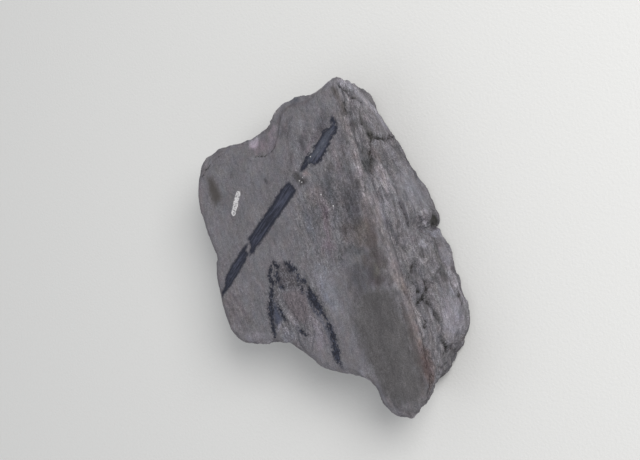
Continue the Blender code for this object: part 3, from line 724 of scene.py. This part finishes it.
def crack_depths(surface):
    """How deep the cracks and pits cut into the surface, and how far each vertex is from them, in millimetres."""
    places = surface.places
    wander = 0.4 * noise_at(places, 1.4, 61.0)
    cut = np.zeros(len(places))
    closest = np.full(len(places), 9.0)
    for line, depth in CRACKS:
        distance = distance_to_line(places, line) + wander
        cut = np.maximum(cut, depth * (1.0 - smooth_step(-0.15, 0.55, distance)))
        closest = np.minimum(closest, distance)
    for x, y, radius in PITS:
        distance = np.linalg.norm(places[:, :2] - (x, y), axis=1) - radius + wander
        cut = np.maximum(cut, 0.3 * surface.face * (1.0 - smooth_step(-0.4, 0.2, distance)))
    middle, half_sizes, depth = CAVITY
    reach = np.linalg.norm((places - np.array(middle)) / np.array(half_sizes), axis=1) + 0.4 * wander
    cut = np.maximum(cut, depth * (1.0 - smooth_step(0.5, 1.0, reach)))
    return cut, closest, reach


def soft_tints(surface):
    """How much lighter, warmer and pinker than plain rock each vertex is, one column for each. Some spots and seams are
    painted shade or painted highlights.
    """
    amounts = np.zeros((len(surface.places), 3))
    axes = (noise_at(surface.places, 2.4, seed) for seed in (71.0, 83.0, 97.0))
    strayed = surface.places + 1.3 * np.column_stack(list(axes))
    for _name, middle, half_sizes, turn, *change in TINTS:
        offset = turned(strayed - np.array(middle), math.radians(turn))
        away = np.linalg.norm(offset / np.array(half_sizes), axis=1)
        reach = 1.0 - smooth_step(0.3, 1.4, away)
        amounts += reach[:, None] * np.array(change)
    jittered = surface.places + 0.35 * (strayed - surface.places)
    for _name, line, change in SEAMS:
        reach = 1.0 - smooth_step(-0.1, 0.8, distance_to_line(jittered, line))
        amounts += reach[:, None] * np.array(change)
    return amounts


def coarseness(surface):
    """How coarse the grain of the rock is at each vertex, 1 where it is as on plain rock."""
    flat = surface.places[:, :2]
    amount = np.ones(len(flat))
    for middle, radius, more in COARSER:
        distance = np.linalg.norm(flat - middle, axis=1)
        amount += more * (1.0 - smooth_step(0.5 * radius, 1.2 * radius, distance))
    return amount


def keep_marks(surface):
    """Keeps how far each vertex is from the outlines of the fossils and the other marks on the face."""
    flat = surface.places[:, :2]
    below = 4.0 * (1.0 - surface.face)
    outlines = {"body": WING_BODY, "head": HEAD, "patch": SMOOTH_PATCH, "stain": STAIN}
    distances = {name: distance_to_outline(flat, outline) for name, outline in outlines.items()}
    distances["fill"] = np.min([distance_to_outline(flat, fill) for fill in WING_FILLS], axis=0)
    distances["stem"] = np.min([distance_to_outline(flat, part) for part in STEM_PARTS], axis=0)
    distances["worn"] = distance_to_line(flat, WORN_STEM)
    distances["wing"] = np.min([distance_to_line(flat, line) for line in WING_LINES], axis=0)
    distances["vein"] = np.min([distance_to_line(flat, line) for line in VEIN_LINES], axis=0)
    distances["paint"] = distance_to_line(flat, PAINT_DAB)
    for name, distance in distances.items():
        surface.keep(name + "_distance", distance + below)
    surface.keep("ridge_distance", distance_to_line(flat, [(*point, 0.0) for point in RIDGE]))
    surface.keep("band_distance", distance_to_line(flat, [(*point, 0.0) for point in PALE_BAND]) + below)
    surface.keep("rust_distance", distance_to_line(surface.places, RUST))
    surface.keep("smoothness", smoothness(surface.places))


def copy_of_node(node, name):
    """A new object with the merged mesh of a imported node."""
    bm = bmesh.new()
    bm.from_mesh(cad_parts[node].data)
    bmesh.ops.remove_doubles(bm, verts=bm.verts, dist=0.001 * MM)
    mesh = bpy.data.meshes.new(name)
    bm.to_mesh(mesh)
    bm.free()
    piece = bpy.data.objects.new(name, mesh)
    bpy.context.scene.collection.objects.link(piece)
    return piece


def remesh(piece, voxel):
    """Gives a piece a fine even mesh, in which its surface can be moved."""
    modifier = piece.modifiers.new("even mesh", "REMESH")
    modifier.mode = "VOXEL"
    modifier.voxel_size = voxel
    graph = bpy.context.evaluated_depsgraph_get()
    fine = bpy.data.meshes.new_from_object(piece.evaluated_get(graph))
    coarse = piece.data
    piece.modifiers.clear()
    piece.data = fine
    bpy.data.meshes.remove(coarse)
    fine.name = piece.name


def shape_stone(piece, settings):
    """Breaks the walls, chips the edges and cuts the cracks, and keeps what the material needs to know."""
    surface = StoneSurface(piece.data)
    cut, crack_distance, cavity_reach = crack_depths(surface)
    keep_marks(surface)
    surface.keep("crack_distance", crack_distance)
    surface.keep("cavity_reach", cavity_reach)
    for name, amount in zip(("lightness", "warmth", "pinkness"), soft_tints(surface).T):
        surface.keep(name, amount)
    surface.keep("coarseness", coarseness(surface))
    surface.keep("wall", surface.wall)
    surface.keep("thick_side", surface.thick_side)
    stands_out = wall_relief(surface, settings)
    # The material paints light and shade from this: lighter where the wall stands out, darker in its recesses.
    surface.keep("relief", stands_out * surface.wall)
    smooth = smooth_step(-0.4, 0.8, distance_to_outline(surface.places[:, :2], SMOOTH_PATCH))
    up = face_relief(surface, settings) * (0.35 + 0.65 * smooth) + ridge_terraces(surface) + flake_scars(surface)
    offsets = surface.outward * (surface.wall * stands_out)[:, None]
    offsets[:, 2] += surface.face * up + surface.underside * underside_relief(surface)
    offsets -= surface.normals * cut[:, None]
    middle, half_sizes, swell = PIT_RIM
    reach = np.linalg.norm((surface.places - np.array(middle)) / np.array(half_sizes), axis=1)
    offsets += surface.outward * (swell * (1.0 - smooth_step(0.3, 1.2, reach)))[:, None]
    lowest = -surface.places[:, 2] - FACE_ORIGIN.z
    offsets[:, 2] = np.maximum(offsets[:, 2], lowest)
    surface.move(offsets)


def underside_relief(surface):
    """How far the underside is hollowed, in millimetres: shallow steps of split shale above its lowest plane."""
    steps = lamina_steps_flat(surface.places)
    return UNDERSIDE_DEPTH * steps


def lamina_steps_flat(places):
    """Low terraces, from 0 to 1, with wandering edges."""
    level = 2.2 * rough_noise_at(places, 16.0, 47.0, 4)
    step = np.floor(level)
    share = smooth_step(0.8, 1.0, level - step)
    return np.clip((step + share) * 0.4, 0.0, 1.0)


class Amount:
    """A number that changes over a surface: a shader socket that Python's operators extend with Math nodes."""

    def __init__(self, paint, socket):
        self.paint = paint
        self.socket = socket

    def math(self, operation, *others):
        made = self.paint.node("ShaderNodeMath", {"operation": operation}, dict(enumerate((self, *others))))
        return Amount(self.paint, made.outputs[0])

    def __add__(self, other):
        return self.math("ADD", other)

    def __sub__(self, other):
        return self.math("SUBTRACT", other)

    def __mul__(self, other):
        return self.math("MULTIPLY", other)

    def __truediv__(self, other):
        return self.math("DIVIDE", other)

    def __rsub__(self, other):
        return (self * -1.0) + other

    def __neg__(self):
        return self * -1.0

    __radd__ = __add__
    __rmul__ = __mul__

    def between(self, low, high):
        """From 0 at the low value to 1 at the high one, easing in and out."""
        made = self.paint.node(
            "ShaderNodeMapRange",
            {"interpolation_type": "SMOOTHSTEP"},
            {"Value": self, "From Min": low, "From Max": high},
        )
        return Amount(self.paint, made.outputs["Result"])


class Paint:
    """Builds one material's nodes."""

    def __init__(self, name):
        self.material = bpy.data.materials.new(name)
        self.material.use_nodes = True
        self.tree = self.material.node_tree
        self.tree.nodes.clear()

    def node(self, kind, settings=None, sockets=None):
        """Adds a node, sets its settings first and then gives its sockets values or links."""
        made = self.tree.nodes.new(kind)
        for name, value in (settings or {}).items():
            if name == "stops":
                self.set_stops(made.color_ramp, value)
            else:
                setattr(made, name, value)
        for name, value in (sockets or {}).items():
            if isinstance(value, Amount):
                value = value.socket
            if isinstance(value, bpy.types.NodeSocket):
                self.tree.links.new(value, made.inputs[name])
            else:
                made.inputs[name].default_value = value
        return made

    @staticmethod
    def set_stops(ramp, stops):
        while len(ramp.elements) < len(stops):
            ramp.elements.new(1.0)
        for element, (position, value) in zip(ramp.elements, stops):
            element.position = position
            element.color = (value, value, value, 1.0)

    def kept(self, name):
        """A number that the mesh keeps for each vertex."""
        made = self.node("ShaderNodeAttribute", {"attribute_type": "GEOMETRY", "attribute_name": name})
        return Amount(self, made.outputs["Fac"])

    def places(self, sizes, turn=0.0):
        """Object coordinates in units of the given sizes, in millimetres, with y turned along a direction."""
        here = self.node("ShaderNodeTexCoord").outputs["Object"]
        spun = self.node("ShaderNodeVectorRotate", {"rotation_type": "Z_AXIS"}, {"Vector": here, "Angle": -turn})
        scale = tuple(1.0 / (size * MM) for size in sizes)
        made = self.node("ShaderNodeMapping", {"vector_type": "POINT"}, {"Vector": spun.outputs[0], "Scale": scale})
        return made.outputs["Vector"]

    def distance_from(self, x, y):
        """How far each point of the face is from a place on it, in millimetres. Height counts only a little."""
        here = self.node("ShaderNodeTexCoord").outputs["Object"]
        scale = Vector((1.0, 1.0, 0.05))
        scaled = self.node("ShaderNodeVectorMath", {"operation": "MULTIPLY"}, {0: here, 1: scale / MM})
        place = (FACE_ORIGIN + Vector((x, y, FACE_HEIGHT))) * scale
        made = self.node("ShaderNodeVectorMath", {"operation": "DISTANCE"}, {0: scaled.outputs[0], 1: place})
        return Amount(self, made.outputs["Value"])

    def noise(self, sizes, turn=0.0, detail=2.0, roughness=0.55, distortion=0.0):
        """Noise from about -1 to 1, with lumps of about these sizes."""
        made = self.node(
            "ShaderNodeTexNoise",
            {"noise_dimensions": "3D", "normalize": True},
            {
                "Vector": self.places(sizes, turn),
                "Scale": 1.0,
                "Detail": detail,
                "Roughness": roughness,
                "Distortion": distortion,
            },
        )
        return (Amount(self, made.outputs[0]) - 0.5) * 4.0

    def mixed(self, share, first, second):
        """A colour between two colours."""
        made = self.node("ShaderNodeMix", {"data_type": "RGBA"}, {0: share, 6: self.rgba(first), 7: self.rgba(second)})
        return made.outputs[2]

    def scaled(self, colour, amounts):
        """A colour whose red, green and blue are multiplied by three amounts."""
        factor = self.node("ShaderNodeCombineXYZ", None, dict(zip("XYZ", amounts))).outputs[0]
        made = self.node("ShaderNodeVectorMath", {"operation": "MULTIPLY"}, {0: self.rgb(colour), 1: factor})
        return made.outputs[0]

    @staticmethod
    def rgba(colour):
        return colour if isinstance(colour, bpy.types.NodeSocket) else (*tuple(colour)[:3], 1.0)

    @staticmethod
    def rgb(colour):
        return colour if isinstance(colour, bpy.types.NodeSocket) else tuple(colour)[:3]

    def finish(self, colour, roughness, height, bump_distance):
        """Joins the colour, the roughness and the height of the grain to the material's shader."""
        bump = self.node("ShaderNodeBump", None, {"Height": height, "Distance": bump_distance, "Strength": 1.0})
        shader = self.node(
            "ShaderNodeBsdfPrincipled",
            None,
            {"Base Color": colour, "Roughness": roughness, "Normal": bump.outputs[0], "Specular IOR Level": 0.3},
        )
        self.node("ShaderNodeOutputMaterial", None, {"Surface": shader.outputs[0]})
        return self.material


def rock_colour(paint, colours):
    """Bare shale: mottled, wrinkled and streaked, with painted light and shade on the walls: lighter than the face,
    lighter where they stand out and darker in recesses and beside cracks. Also gives its grain and the beds of the
    walls.
    """
    wall = paint.kept("wall")
    broad = paint.noise((6.0, 9.0, 6.0), RIDGE_TURN, detail=1.0)
    mottle = paint.noise((1.3, 3.2, 1.3), RIDGE_TURN, detail=3.0, roughness=0.6, distortion=0.3)
    flecks = paint.noise((0.5, 1.1, 0.5), RIDGE_TURN, detail=2.0, roughness=0.6)
    grain = paint.noise((0.27, 0.3, 0.27), RIDGE_TURN, detail=1.0)
    creases = paint.noise((1.1, 2.1, 1.1), RIDGE_TURN, detail=2.0, distortion=0.6).math("ABSOLUTE")
    wrinkles = (1.0 - creases.between(0.0, 0.22)) * mottle.between(-0.5, 0.9)
    streaks = paint.noise((0.9, 6.0, 0.9), RIDGE_TURN, detail=3.0, roughness=0.6)
    beds = bed_streaks(paint)
    coarse = paint.kept("coarseness")
    calm = 1.0 - paint.kept("smoothness") * 0.4
    face_tone = (mottle * 0.16 + flecks * 0.16 + streaks * 0.1 - wrinkles * 0.14) * coarse
    face_tone = face_tone + grain * (coarse * 0.12 + 0.17) + broad * 0.12
    thick_side = paint.kept("thick_side")
    wall_tone = broad * 0.22 + mottle * 0.22 + beds * (0.4 - thick_side * 0.22) + flecks * (thick_side * 0.14 + 0.14)
    wall_tone = wall_tone + streaks * (thick_side * 0.26 + 0.1) + grain * (thick_side * 0.27 + 0.25)
    # The kept relief adds painted light and shade: wall rock that stands out is made lighter and recessed rock darker.
    wall_tone = (wall_tone - wrinkles * 0.2) * calm + paint.kept("relief") * 0.3
    lines = wall * (wall_tone - face_tone) + face_tone - dark_hairlines(paint) * 0.3
    # Painted shade on the walls beside the cracks.
    crack_shade_halo = wall * (1.0 - paint.kept("crack_distance").between(0.0, 1.2))
    streaks_of_ridge = ridge_streaks(paint)
    band = 1.0 - paint.kept("band_distance").between(0.2, 2.0)
    # The walls are painted 0.14 lighter than the face, as side light makes them look, and darker beside their cracks.
    tone = lines + paint.kept("lightness") + streaks_of_ridge * 0.25 + wall * 0.14 - crack_shade_halo * 0.2
    tone = tone + band * (rubbed_streaks(paint) * 0.42 + mottle * 0.12 + flecks * 0.1 + 0.04)
    warm_drift = paint.noise((2.4, 4.0, 2.4), RIDGE_TURN, detail=3.0, roughness=0.6)
    pink_drift = paint.noise((2.0, 3.4, 2.1), RIDGE_TURN, detail=3.0, roughness=0.6, distortion=0.4)
    warmth = paint.kept("warmth") + warm_drift * 0.7 + streaks_of_ridge * 0.3 + band * 0.5
    pinkness = paint.kept("pinkness") + pink_drift * 0.6 + band * 0.1
    brightness = tone.math("EXPONENT")
    amounts = (
        brightness * (warmth * 0.05 + pinkness * 0.02 + 1.0),
        brightness * (warmth * -0.008 + pinkness * -0.035 + 1.0),
        brightness * (warmth * -0.06 + pinkness * 0.02 + 1.0),
    )
    return paint.scaled(colours.shale, amounts), lines, beds


def bed_streaks(paint):
    """Streaks along the beds of the walls, finer than the ledges of the mesh."""
    return paint.noise((4.5, 4.5, 0.8), 0.0, detail=4.0, roughness=0.65, distortion=0.9)


def ridge_streaks(paint):
    """Where the rock is rubbed pale in long streaks on the ridge itself."""
    streaks = paint.noise((0.55, 4.0, 0.6), RIDGE_TURN + math.radians(2.0), detail=3.0, roughness=0.65)
    near = 1.0 - paint.kept("ridge_distance").between(0.6, 4.2)
    return near * (streaks + 0.25)


def rubbed_streaks(paint):
    """The long thin streaks of the pale band along the ridge."""
    return paint.noise((0.45, 4.5, 0.6), RIDGE_TURN + math.radians(1.0), detail=3.0, roughness=0.7)


def dark_hairlines(paint):
    """Thin dark lines that run with the ridge, on both sides of it."""
    bends = paint.noise((0.9, 10.0, 0.9), RIDGE_TURN, detail=1.0).math("ABSOLUTE")
    gaps = paint.noise((2.0, 5.0, 2.0), RIDGE_TURN, detail=2.0)
    near = 1.0 - paint.kept("ridge_distance").between(3.0, 12.0)
    return (1.0 - bends.between(0.0, 0.28)) * gaps.between(-0.1, 0.6) * near


def stone_material(colours):
    """Grey shale with the films of the fossils, the stains and the dab of paint on it, and painted shade in the pit and
    the cracks.
    """
    paint = Paint("grey_shale_with_fossils")
    colour, lines, beds = rock_colour(paint, colours)
    ragged = paint.noise((0.6, 0.7, 0.6), 0.0, detail=3.0, roughness=0.7)
    wandering = paint.noise((3.0, 4.0, 3.0), RIDGE_TURN, detail=4.0, roughness=0.65)
    patch = 1.0 - (paint.kept("patch_distance") + wandering * 1.9 + ragged * 0.5).between(-2.6, 1.4)
    patch_tone = (lines * 0.95 + wandering * 0.2).math("EXPONENT")
    patch_colour = paint.scaled(colours.smooth_patch, (patch_tone,) * 3)
    colour = paint.mixed(patch * 0.85, colour, patch_colour)
    stain = 1.0 - (paint.kept("stain_distance") + ragged * 0.4).between(-1.8, 1.0)
    colour = paint.mixed(stain * 0.9, colour, colours.stain)
    rust = 1.0 - (paint.kept("rust_distance") + ragged * 0.5).between(-0.5, 0.9)
    rust_spots = paint.noise((0.4, 0.9, 0.4), RIDGE_TURN, detail=3.0, roughness=0.7).between(-0.3, 0.8)
    colour = paint.mixed(rust * rust_spots * 0.75, colour, colours.rust)
    colour = insect_colours(paint, colour, lines, ragged, wandering, colours)
    colour = stem_colours(paint, colour, ragged, colours)
    # Painted shade inside the pit at the lower end of the upper block, in a dark olive-brown.
    pit_shade = 1.0 - (paint.kept("cavity_reach") + ragged * 0.08).between(0.62, 1.0)
    colour = paint.mixed(pit_shade * 0.8, colour, colours.pit_shade)
    # Painted shade inside the cracks: their narrow openings are coloured nearly black.
    crack = 1.0 - (paint.kept("crack_distance") + ragged * 0.45).between(-0.3, 0.3)
    colour = paint.mixed(crack * 0.85, colour, colours.crack)
    dab = paint_dab(paint, ragged)
    colour = paint.mixed(dab, colour, colours.paint)
    for x, y, radius in SPECKS:
        speck = 1.0 - paint.distance_from(x, y).between(radius - 0.06, radius + 0.06)
        colour = paint.mixed(speck * 0.85, colour, colours.paint)
    wall = paint.kept("wall")
    height = lines * (wall * 0.12 + 0.12) + wall * beds * 0.08 + dab * 0.06
    roughness = 0.86 - patch * 0.12
    return paint.finish(colour, roughness, height, 1.0 * MM)


def insect_colours(paint, colour, lines, ragged, wandering, colours):
    """The insect: brown and blue-grey rock inside it, faint veins, and the dark film of the wings' margins."""
    flakes = paint.noise((0.45, 0.8, 0.45), math.radians(30.0), detail=3.0, roughness=0.7)
    body = 1.0 - (paint.kept("body_distance") + wandering * 0.5).between(-1.2, 0.9)
    fan = paint.noise((0.6, 4.5, 0.6), math.radians(38.0), detail=3.0)
    body_tone = (lines * 0.5 + fan * 0.16).math("EXPONENT")
    colour = paint.mixed(body * 0.75, colour, paint.scaled(colours.wing_body, (body_tone,) * 3))
    head = 1.0 - (paint.kept("head_distance") + ragged * 0.6).between(-1.4, 0.7)
    head_spots = (flakes * 1.5 + ragged * 0.8 + 0.5).between(-0.4, 1.0)
    colour = paint.mixed(head * head_spots * 0.95, colour, colours.head)
    blots = paint.noise((0.9, 1.5, 0.9), math.radians(30.0), detail=3.0, roughness=0.65)
    fill = 1.0 - (paint.kept("fill_distance") + ragged * 0.4 + blots * 0.5).between(-1.3, 0.5)
    fill_tone = (flakes * 0.3 + blots * 0.3).math("EXPONENT")
    colour = paint.mixed(fill * 0.85, colour, paint.scaled(colours.wing_fill, (fill_tone,) * 3))
    veins = 1.0 - (paint.kept("vein_distance") + flakes * 0.4).between(-0.3, 0.4)
    colour = paint.mixed(veins * 0.4, colour, colours.film)
    distance = paint.kept("wing_distance") + blots * 0.35
    halo = 1.0 - (distance + ragged * 0.6).between(-0.3, 1.1)
    colour = paint.mixed(halo * 0.3, colour, colours.film)
    film = 1.0 - (distance + ragged * 0.65 + flakes * 0.65).between(-0.35, 0.25)
    thin = (blots * 0.8 - flakes * 0.9 + ragged * 0.4).between(-0.1, 0.8)
    shade = paint.mixed(thin * 0.8, colours.film, colours.wing_fill)
    return paint.mixed(film * 0.96, colour, shade)


def stem_colours(paint, colour, ragged, colours):
    """The stem's blue-black film: dark at its edges, with straight paler lines along it."""
    turn = STEM_TURN - math.pi / 2.0
    lines = paint.noise((0.42, 9.0, 1.0), turn, detail=2.0)
    worn = paint.noise((0.8, 2.2, 1.0), turn, detail=3.0, roughness=0.7)
    distance = paint.kept("stem_distance")
    loose = 1.0 - paint.kept("worn_distance").between(1.2, 3.0)
    edge_noise = ragged * (loose * 0.3 + 0.25) + worn * (loose * 0.5 + 0.3)
    film = 1.0 - (distance + edge_noise).between(-0.45, 0.5)
    film = film * (1.0 - loose * (ragged * 0.9 + worn * 0.6).between(0.1, 1.1) * 0.7)
    core = 1.0 - distance.between(-1.2, -0.3)
    pale = core * (lines * 1.2 + worn * 0.5 + ragged * 0.3).between(-0.6, 0.9)
    stem = paint.mixed(pale, colours.stem, colours.stem_line)
    wear = 1.0 - (paint.kept("worn_distance") + ragged * 0.8 + worn * 0.5).between(-0.5, 0.6)
    worn_tone = (worn * 0.4 + ragged * 0.5).math("EXPONENT")
    stem = paint.mixed(wear * 0.85, stem, paint.scaled(colours.stem_worn, (worn_tone,) * 3))
    return paint.mixed(film * 0.97, colour, stem)


def paint_dab(paint, ragged):
    """Where the white paint is left: lumpy at its edge and worn through in places."""
    lumps = paint.noise((0.9, 0.9, 0.9), 0.0, detail=1.0)
    worn = paint.noise((0.42, 0.42, 0.42), 0.0, detail=2.0)
    distance = paint.kept("paint_distance") + lumps * 0.2
    edge = 1.0 - distance.between(-0.15, 0.15)
    middle = 1.0 - distance.between(-0.75, -0.2)
    return edge * (1.0 - (worn + ragged * 0.4 + middle * 0.35).between(0.1, 0.7) * 0.85)


def floor_material(stage):
    """Plain pale paper."""
    paint = Paint("pale_paper")
    fibres = paint.noise((0.8, 0.8, 0.8), 0.0, detail=2.0)
    colour = paint.scaled(stage.floor_colour, (fibres * 0.006 + 1.0,) * 3)
    return paint.finish(colour, 0.9, fibres, 0.02 * MM)


def add_floor(stage):
    """A pale sheet under the slab, far larger than the view."""
    bm = bmesh.new()
    bmesh.ops.create_grid(bm, x_segments=1, y_segments=1, size=stage.floor_size / 2.0)
    mesh = bpy.data.meshes.new("floor")
    bm.to_mesh(mesh)
    bm.free()
    mesh.materials.append(floor_material(stage))
    floor = bpy.data.objects.new("floor", mesh)
    bpy.context.scene.collection.objects.link(floor)


def aimed(origin, target, up):
    """The matrix of a camera or light at the origin that looks at the target."""
    back = (origin - target).normalized()
    right = up.cross(back).normalized()
    axes = Matrix((right, back.cross(right), back)).transposed().to_4x4()
    return Matrix.Translation(origin) @ axes


def add_light(name, direction, distance, size, power, colour):
    """A large square light that faces the slab."""
    light = bpy.data.lights.new(name, "AREA")
    light.shape = "SQUARE"
    light.size = size
    light.energy = power
    light.color = colour
    lamp = bpy.data.objects.new(name, light)
    target = FACE_ORIGIN * MM
    lamp.matrix_world = aimed(target + Vector(direction).normalized() * distance, target, Vector((0, 1, 0)))
    bpy.context.scene.collection.objects.link(lamp)


def add_sky(stage):
    """An even soft light from all round."""
    world = bpy.data.worlds.new("soft_room")
    world.use_nodes = True
    background = world.node_tree.nodes["Background"]
    background.inputs["Color"].default_value = (*stage.sky_colour, 1.0)
    background.inputs["Strength"].default_value = stage.sky_strength
    bpy.context.scene.world = world


def add_camera(stage):
    """Looks down at the slab, tilted towards its thick side, with the peak at the top of the picture."""
    data = bpy.data.cameras.new("camera")
    data.lens = stage.lens
    data.sensor_width = 36.0
    data.clip_start = 0.01
    camera = bpy.data.objects.new("camera", data)
    target = (FACE_ORIGIN + Vector((0.0, 0.0, FACE_HEIGHT / 2.0))) * MM
    lean = Vector((math.sin(stage.camera_tilt), 0.0, math.cos(stage.camera_tilt)))
    camera.matrix_world = aimed(target + lean * stage.camera_distance, target, Vector((0, 1, 0)))
    bpy.context.scene.collection.objects.link(camera)
    bpy.context.scene.camera = camera


def colour_property(name, description, default):
    return FloatVectorProperty(name=name, description=description, default=default, subtype="COLOR", min=0.0, max=1.0)


class FossilShapeSettings(PropertyGroup):
    """Sizes of the stone's surface."""

    voxel: FloatProperty(
        name="Mesh size",
        description="Size of the mesh's faces",
        default=0.45 * MM,
        min=0.3 * MM,
        unit="LENGTH",
        subtype="DISTANCE",
        precision=5,
    )
    wall_relief: FloatProperty(
        name="Wall relief",
        description="How far the broken walls are roughened",
        default=1.0 * MM,
        unit="LENGTH",
        subtype="DISTANCE",
        precision=5,
    )
    face_relief: FloatProperty(
        name="Face relief",
        description="How far the fossil face is roughened",
        default=0.3 * MM,
        unit="LENGTH",
        subtype="DISTANCE",
        precision=5,
    )


class FossilColourSettings(PropertyGroup):
    """Colours of the rock, the films and the marks on it, and of the painted shade in the pit and the cracks."""

    shale: colour_property("Shale", "Bare rock of the face", (0.150, 0.144, 0.158))
    smooth_patch: colour_property("Smooth patch", "Olive-grey patch towards the tip", (0.076, 0.072, 0.074))
    stain: colour_property("Stain", "Brown stain beside the edge", (0.062, 0.055, 0.052))
    head: colour_property("Head", "Mottled grey rock of the insect's head", (0.060, 0.054, 0.062))
    # Painted shade inside the pit, tinted olive-brown.
    pit_shade: colour_property("Cavity", "Olive-brown inside of the pit", (0.040, 0.040, 0.034))
    film: colour_property("Film", "Black film of the wings' margins", (0.014, 0.015, 0.024))
    wing_fill: colour_property("Wing fill", "Blue-grey rock beside the film", (0.052, 0.060, 0.093))
    wing_body: colour_property("Wing body", "Brown rock between the wings' margins", (0.134, 0.114, 0.126))
    stem: colour_property("Stem", "Blue-black film of the plant stem", (0.016, 0.018, 0.030))
    stem_line: colour_property("Stem lines", "Paler lines along the stem", (0.056, 0.062, 0.094))
    stem_worn: colour_property("Worn stem", "Pale blue-grey where the stem's film is worn", (0.078, 0.087, 0.115))
    rust: colour_property("Rust", "Dark spots of the rusty end of the ridge", (0.040, 0.024, 0.021))
    # Painted shade inside the cracks.
    crack: colour_property("Crack", "Dark inside of a crack", (0.016, 0.015, 0.013))
    paint: colour_property("Paint", "Worn white paint", (0.62, 0.61, 0.62))


class FossilStageSettings(PropertyGroup):
    """Floor, light and camera."""

    floor_size: FloatProperty(
        name="Floor size", description="Side of the floor", default=3.0, unit="LENGTH", subtype="DISTANCE"
    )
    floor_colour: colour_property("Floor", "Pale paper under the slab", (0.72, 0.72, 0.71))
    sky_colour: colour_property("Sky", "Soft light from all round", (0.97, 0.98, 1.0))
    sky_strength: FloatProperty(name="Sky strength", description="Brightness of the soft light", default=0.45)
    key_power: FloatProperty(
        name="Key power", description="Power of the main light in watts", default=3.9, subtype="POWER"
    )
    fill_power: FloatProperty(
        name="Fill power", description="Power of the second light in watts", default=0.8, subtype="POWER"
    )
    camera_tilt: FloatProperty(
        name="Camera tilt",
        description="Angle between the view and straight down",
        default=math.radians(35.0),
        unit="ROTATION",
        subtype="ANGLE",
    )
    camera_distance: FloatProperty(
        name="Camera distance",
        description="From the camera to the middle of the slab",
        default=0.3609,
        unit="LENGTH",
        subtype="DISTANCE",
        precision=4,
    )
    lens: FloatProperty(
        name="Lens", description="Focal length in millimetres", default=70.0, unit="CAMERA", subtype="DISTANCE_CAMERA"
    )


class FOSSIL_OT_make_slab(Operator):
    """Makes the stone with its broken walls, its fossils and its material"""

    bl_idname = "fossil.make_slab"
    bl_label = "Make the Slab"

    def execute(self, context):
        settings = context.scene.fossil_shape
        slab = copy_of_node(CAD_NODE, "slab_of_shale")
        remesh(slab, settings.voxel)
        shape_stone(slab, settings)
        slab.data.shade_smooth()
        slab.data.materials.clear()
        slab.data.materials.append(stone_material(context.scene.fossil_colours))
        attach(slab, "root")
        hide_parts(CAD_NODE)
        return {"FINISHED"}


class FOSSIL_OT_set_stage(Operator):
    """Sets up the floor, the light and the camera"""

    bl_idname = "fossil.set_stage"
    bl_label = "Set the Stage"

    def execute(self, context):
        stage = context.scene.fossil_stage
        add_floor(stage)
        add_sky(stage)
        add_light("key", (1.0, 0.5, 1.0), 0.7, 0.35, stage.key_power, (1.0, 0.99, 0.97))
        add_light("fill", (-0.5, -0.5, 1.0), 0.8, 0.6, stage.fill_power, (0.97, 0.98, 1.0))
        add_camera(stage)
        context.scene.view_settings.view_transform = "Standard"
        return {"FINISHED"}


class FOSSIL_PT_slab(Panel):
    """Lists the settings and the steps"""

    bl_label = "Fossil Slab"
    bl_idname = "FOSSIL_PT_slab"
    bl_space_type = "VIEW_3D"
    bl_region_type = "UI"
    bl_category = "Fossil"

    def draw(self, context):
        scene = context.scene
        for group in (scene.fossil_shape, scene.fossil_colours, scene.fossil_stage):
            box = self.layout.box()
            for name in group.__annotations__:
                box.prop(group, name)
        self.layout.operator(FOSSIL_OT_make_slab.bl_idname)
        self.layout.operator(FOSSIL_OT_set_stage.bl_idname)


CLASSES = (
    FossilShapeSettings,
    FossilColourSettings,
    FossilStageSettings,
    FOSSIL_OT_make_slab,
    FOSSIL_OT_set_stage,
    FOSSIL_PT_slab,
)


def register():
    for item in CLASSES:
        bpy.utils.register_class(item)
    bpy.types.Scene.fossil_shape = PointerProperty(type=FossilShapeSettings)
    bpy.types.Scene.fossil_colours = PointerProperty(type=FossilColourSettings)
    bpy.types.Scene.fossil_stage = PointerProperty(type=FossilStageSettings)


def unregister():
    del bpy.types.Scene.fossil_stage
    del bpy.types.Scene.fossil_colours
    del bpy.types.Scene.fossil_shape
    for item in reversed(CLASSES):
        bpy.utils.unregister_class(item)


def main():
    register()
    bpy.ops.fossil.make_slab()
    bpy.ops.fossil.set_stage()


if __name__ == "__main__":
    main()
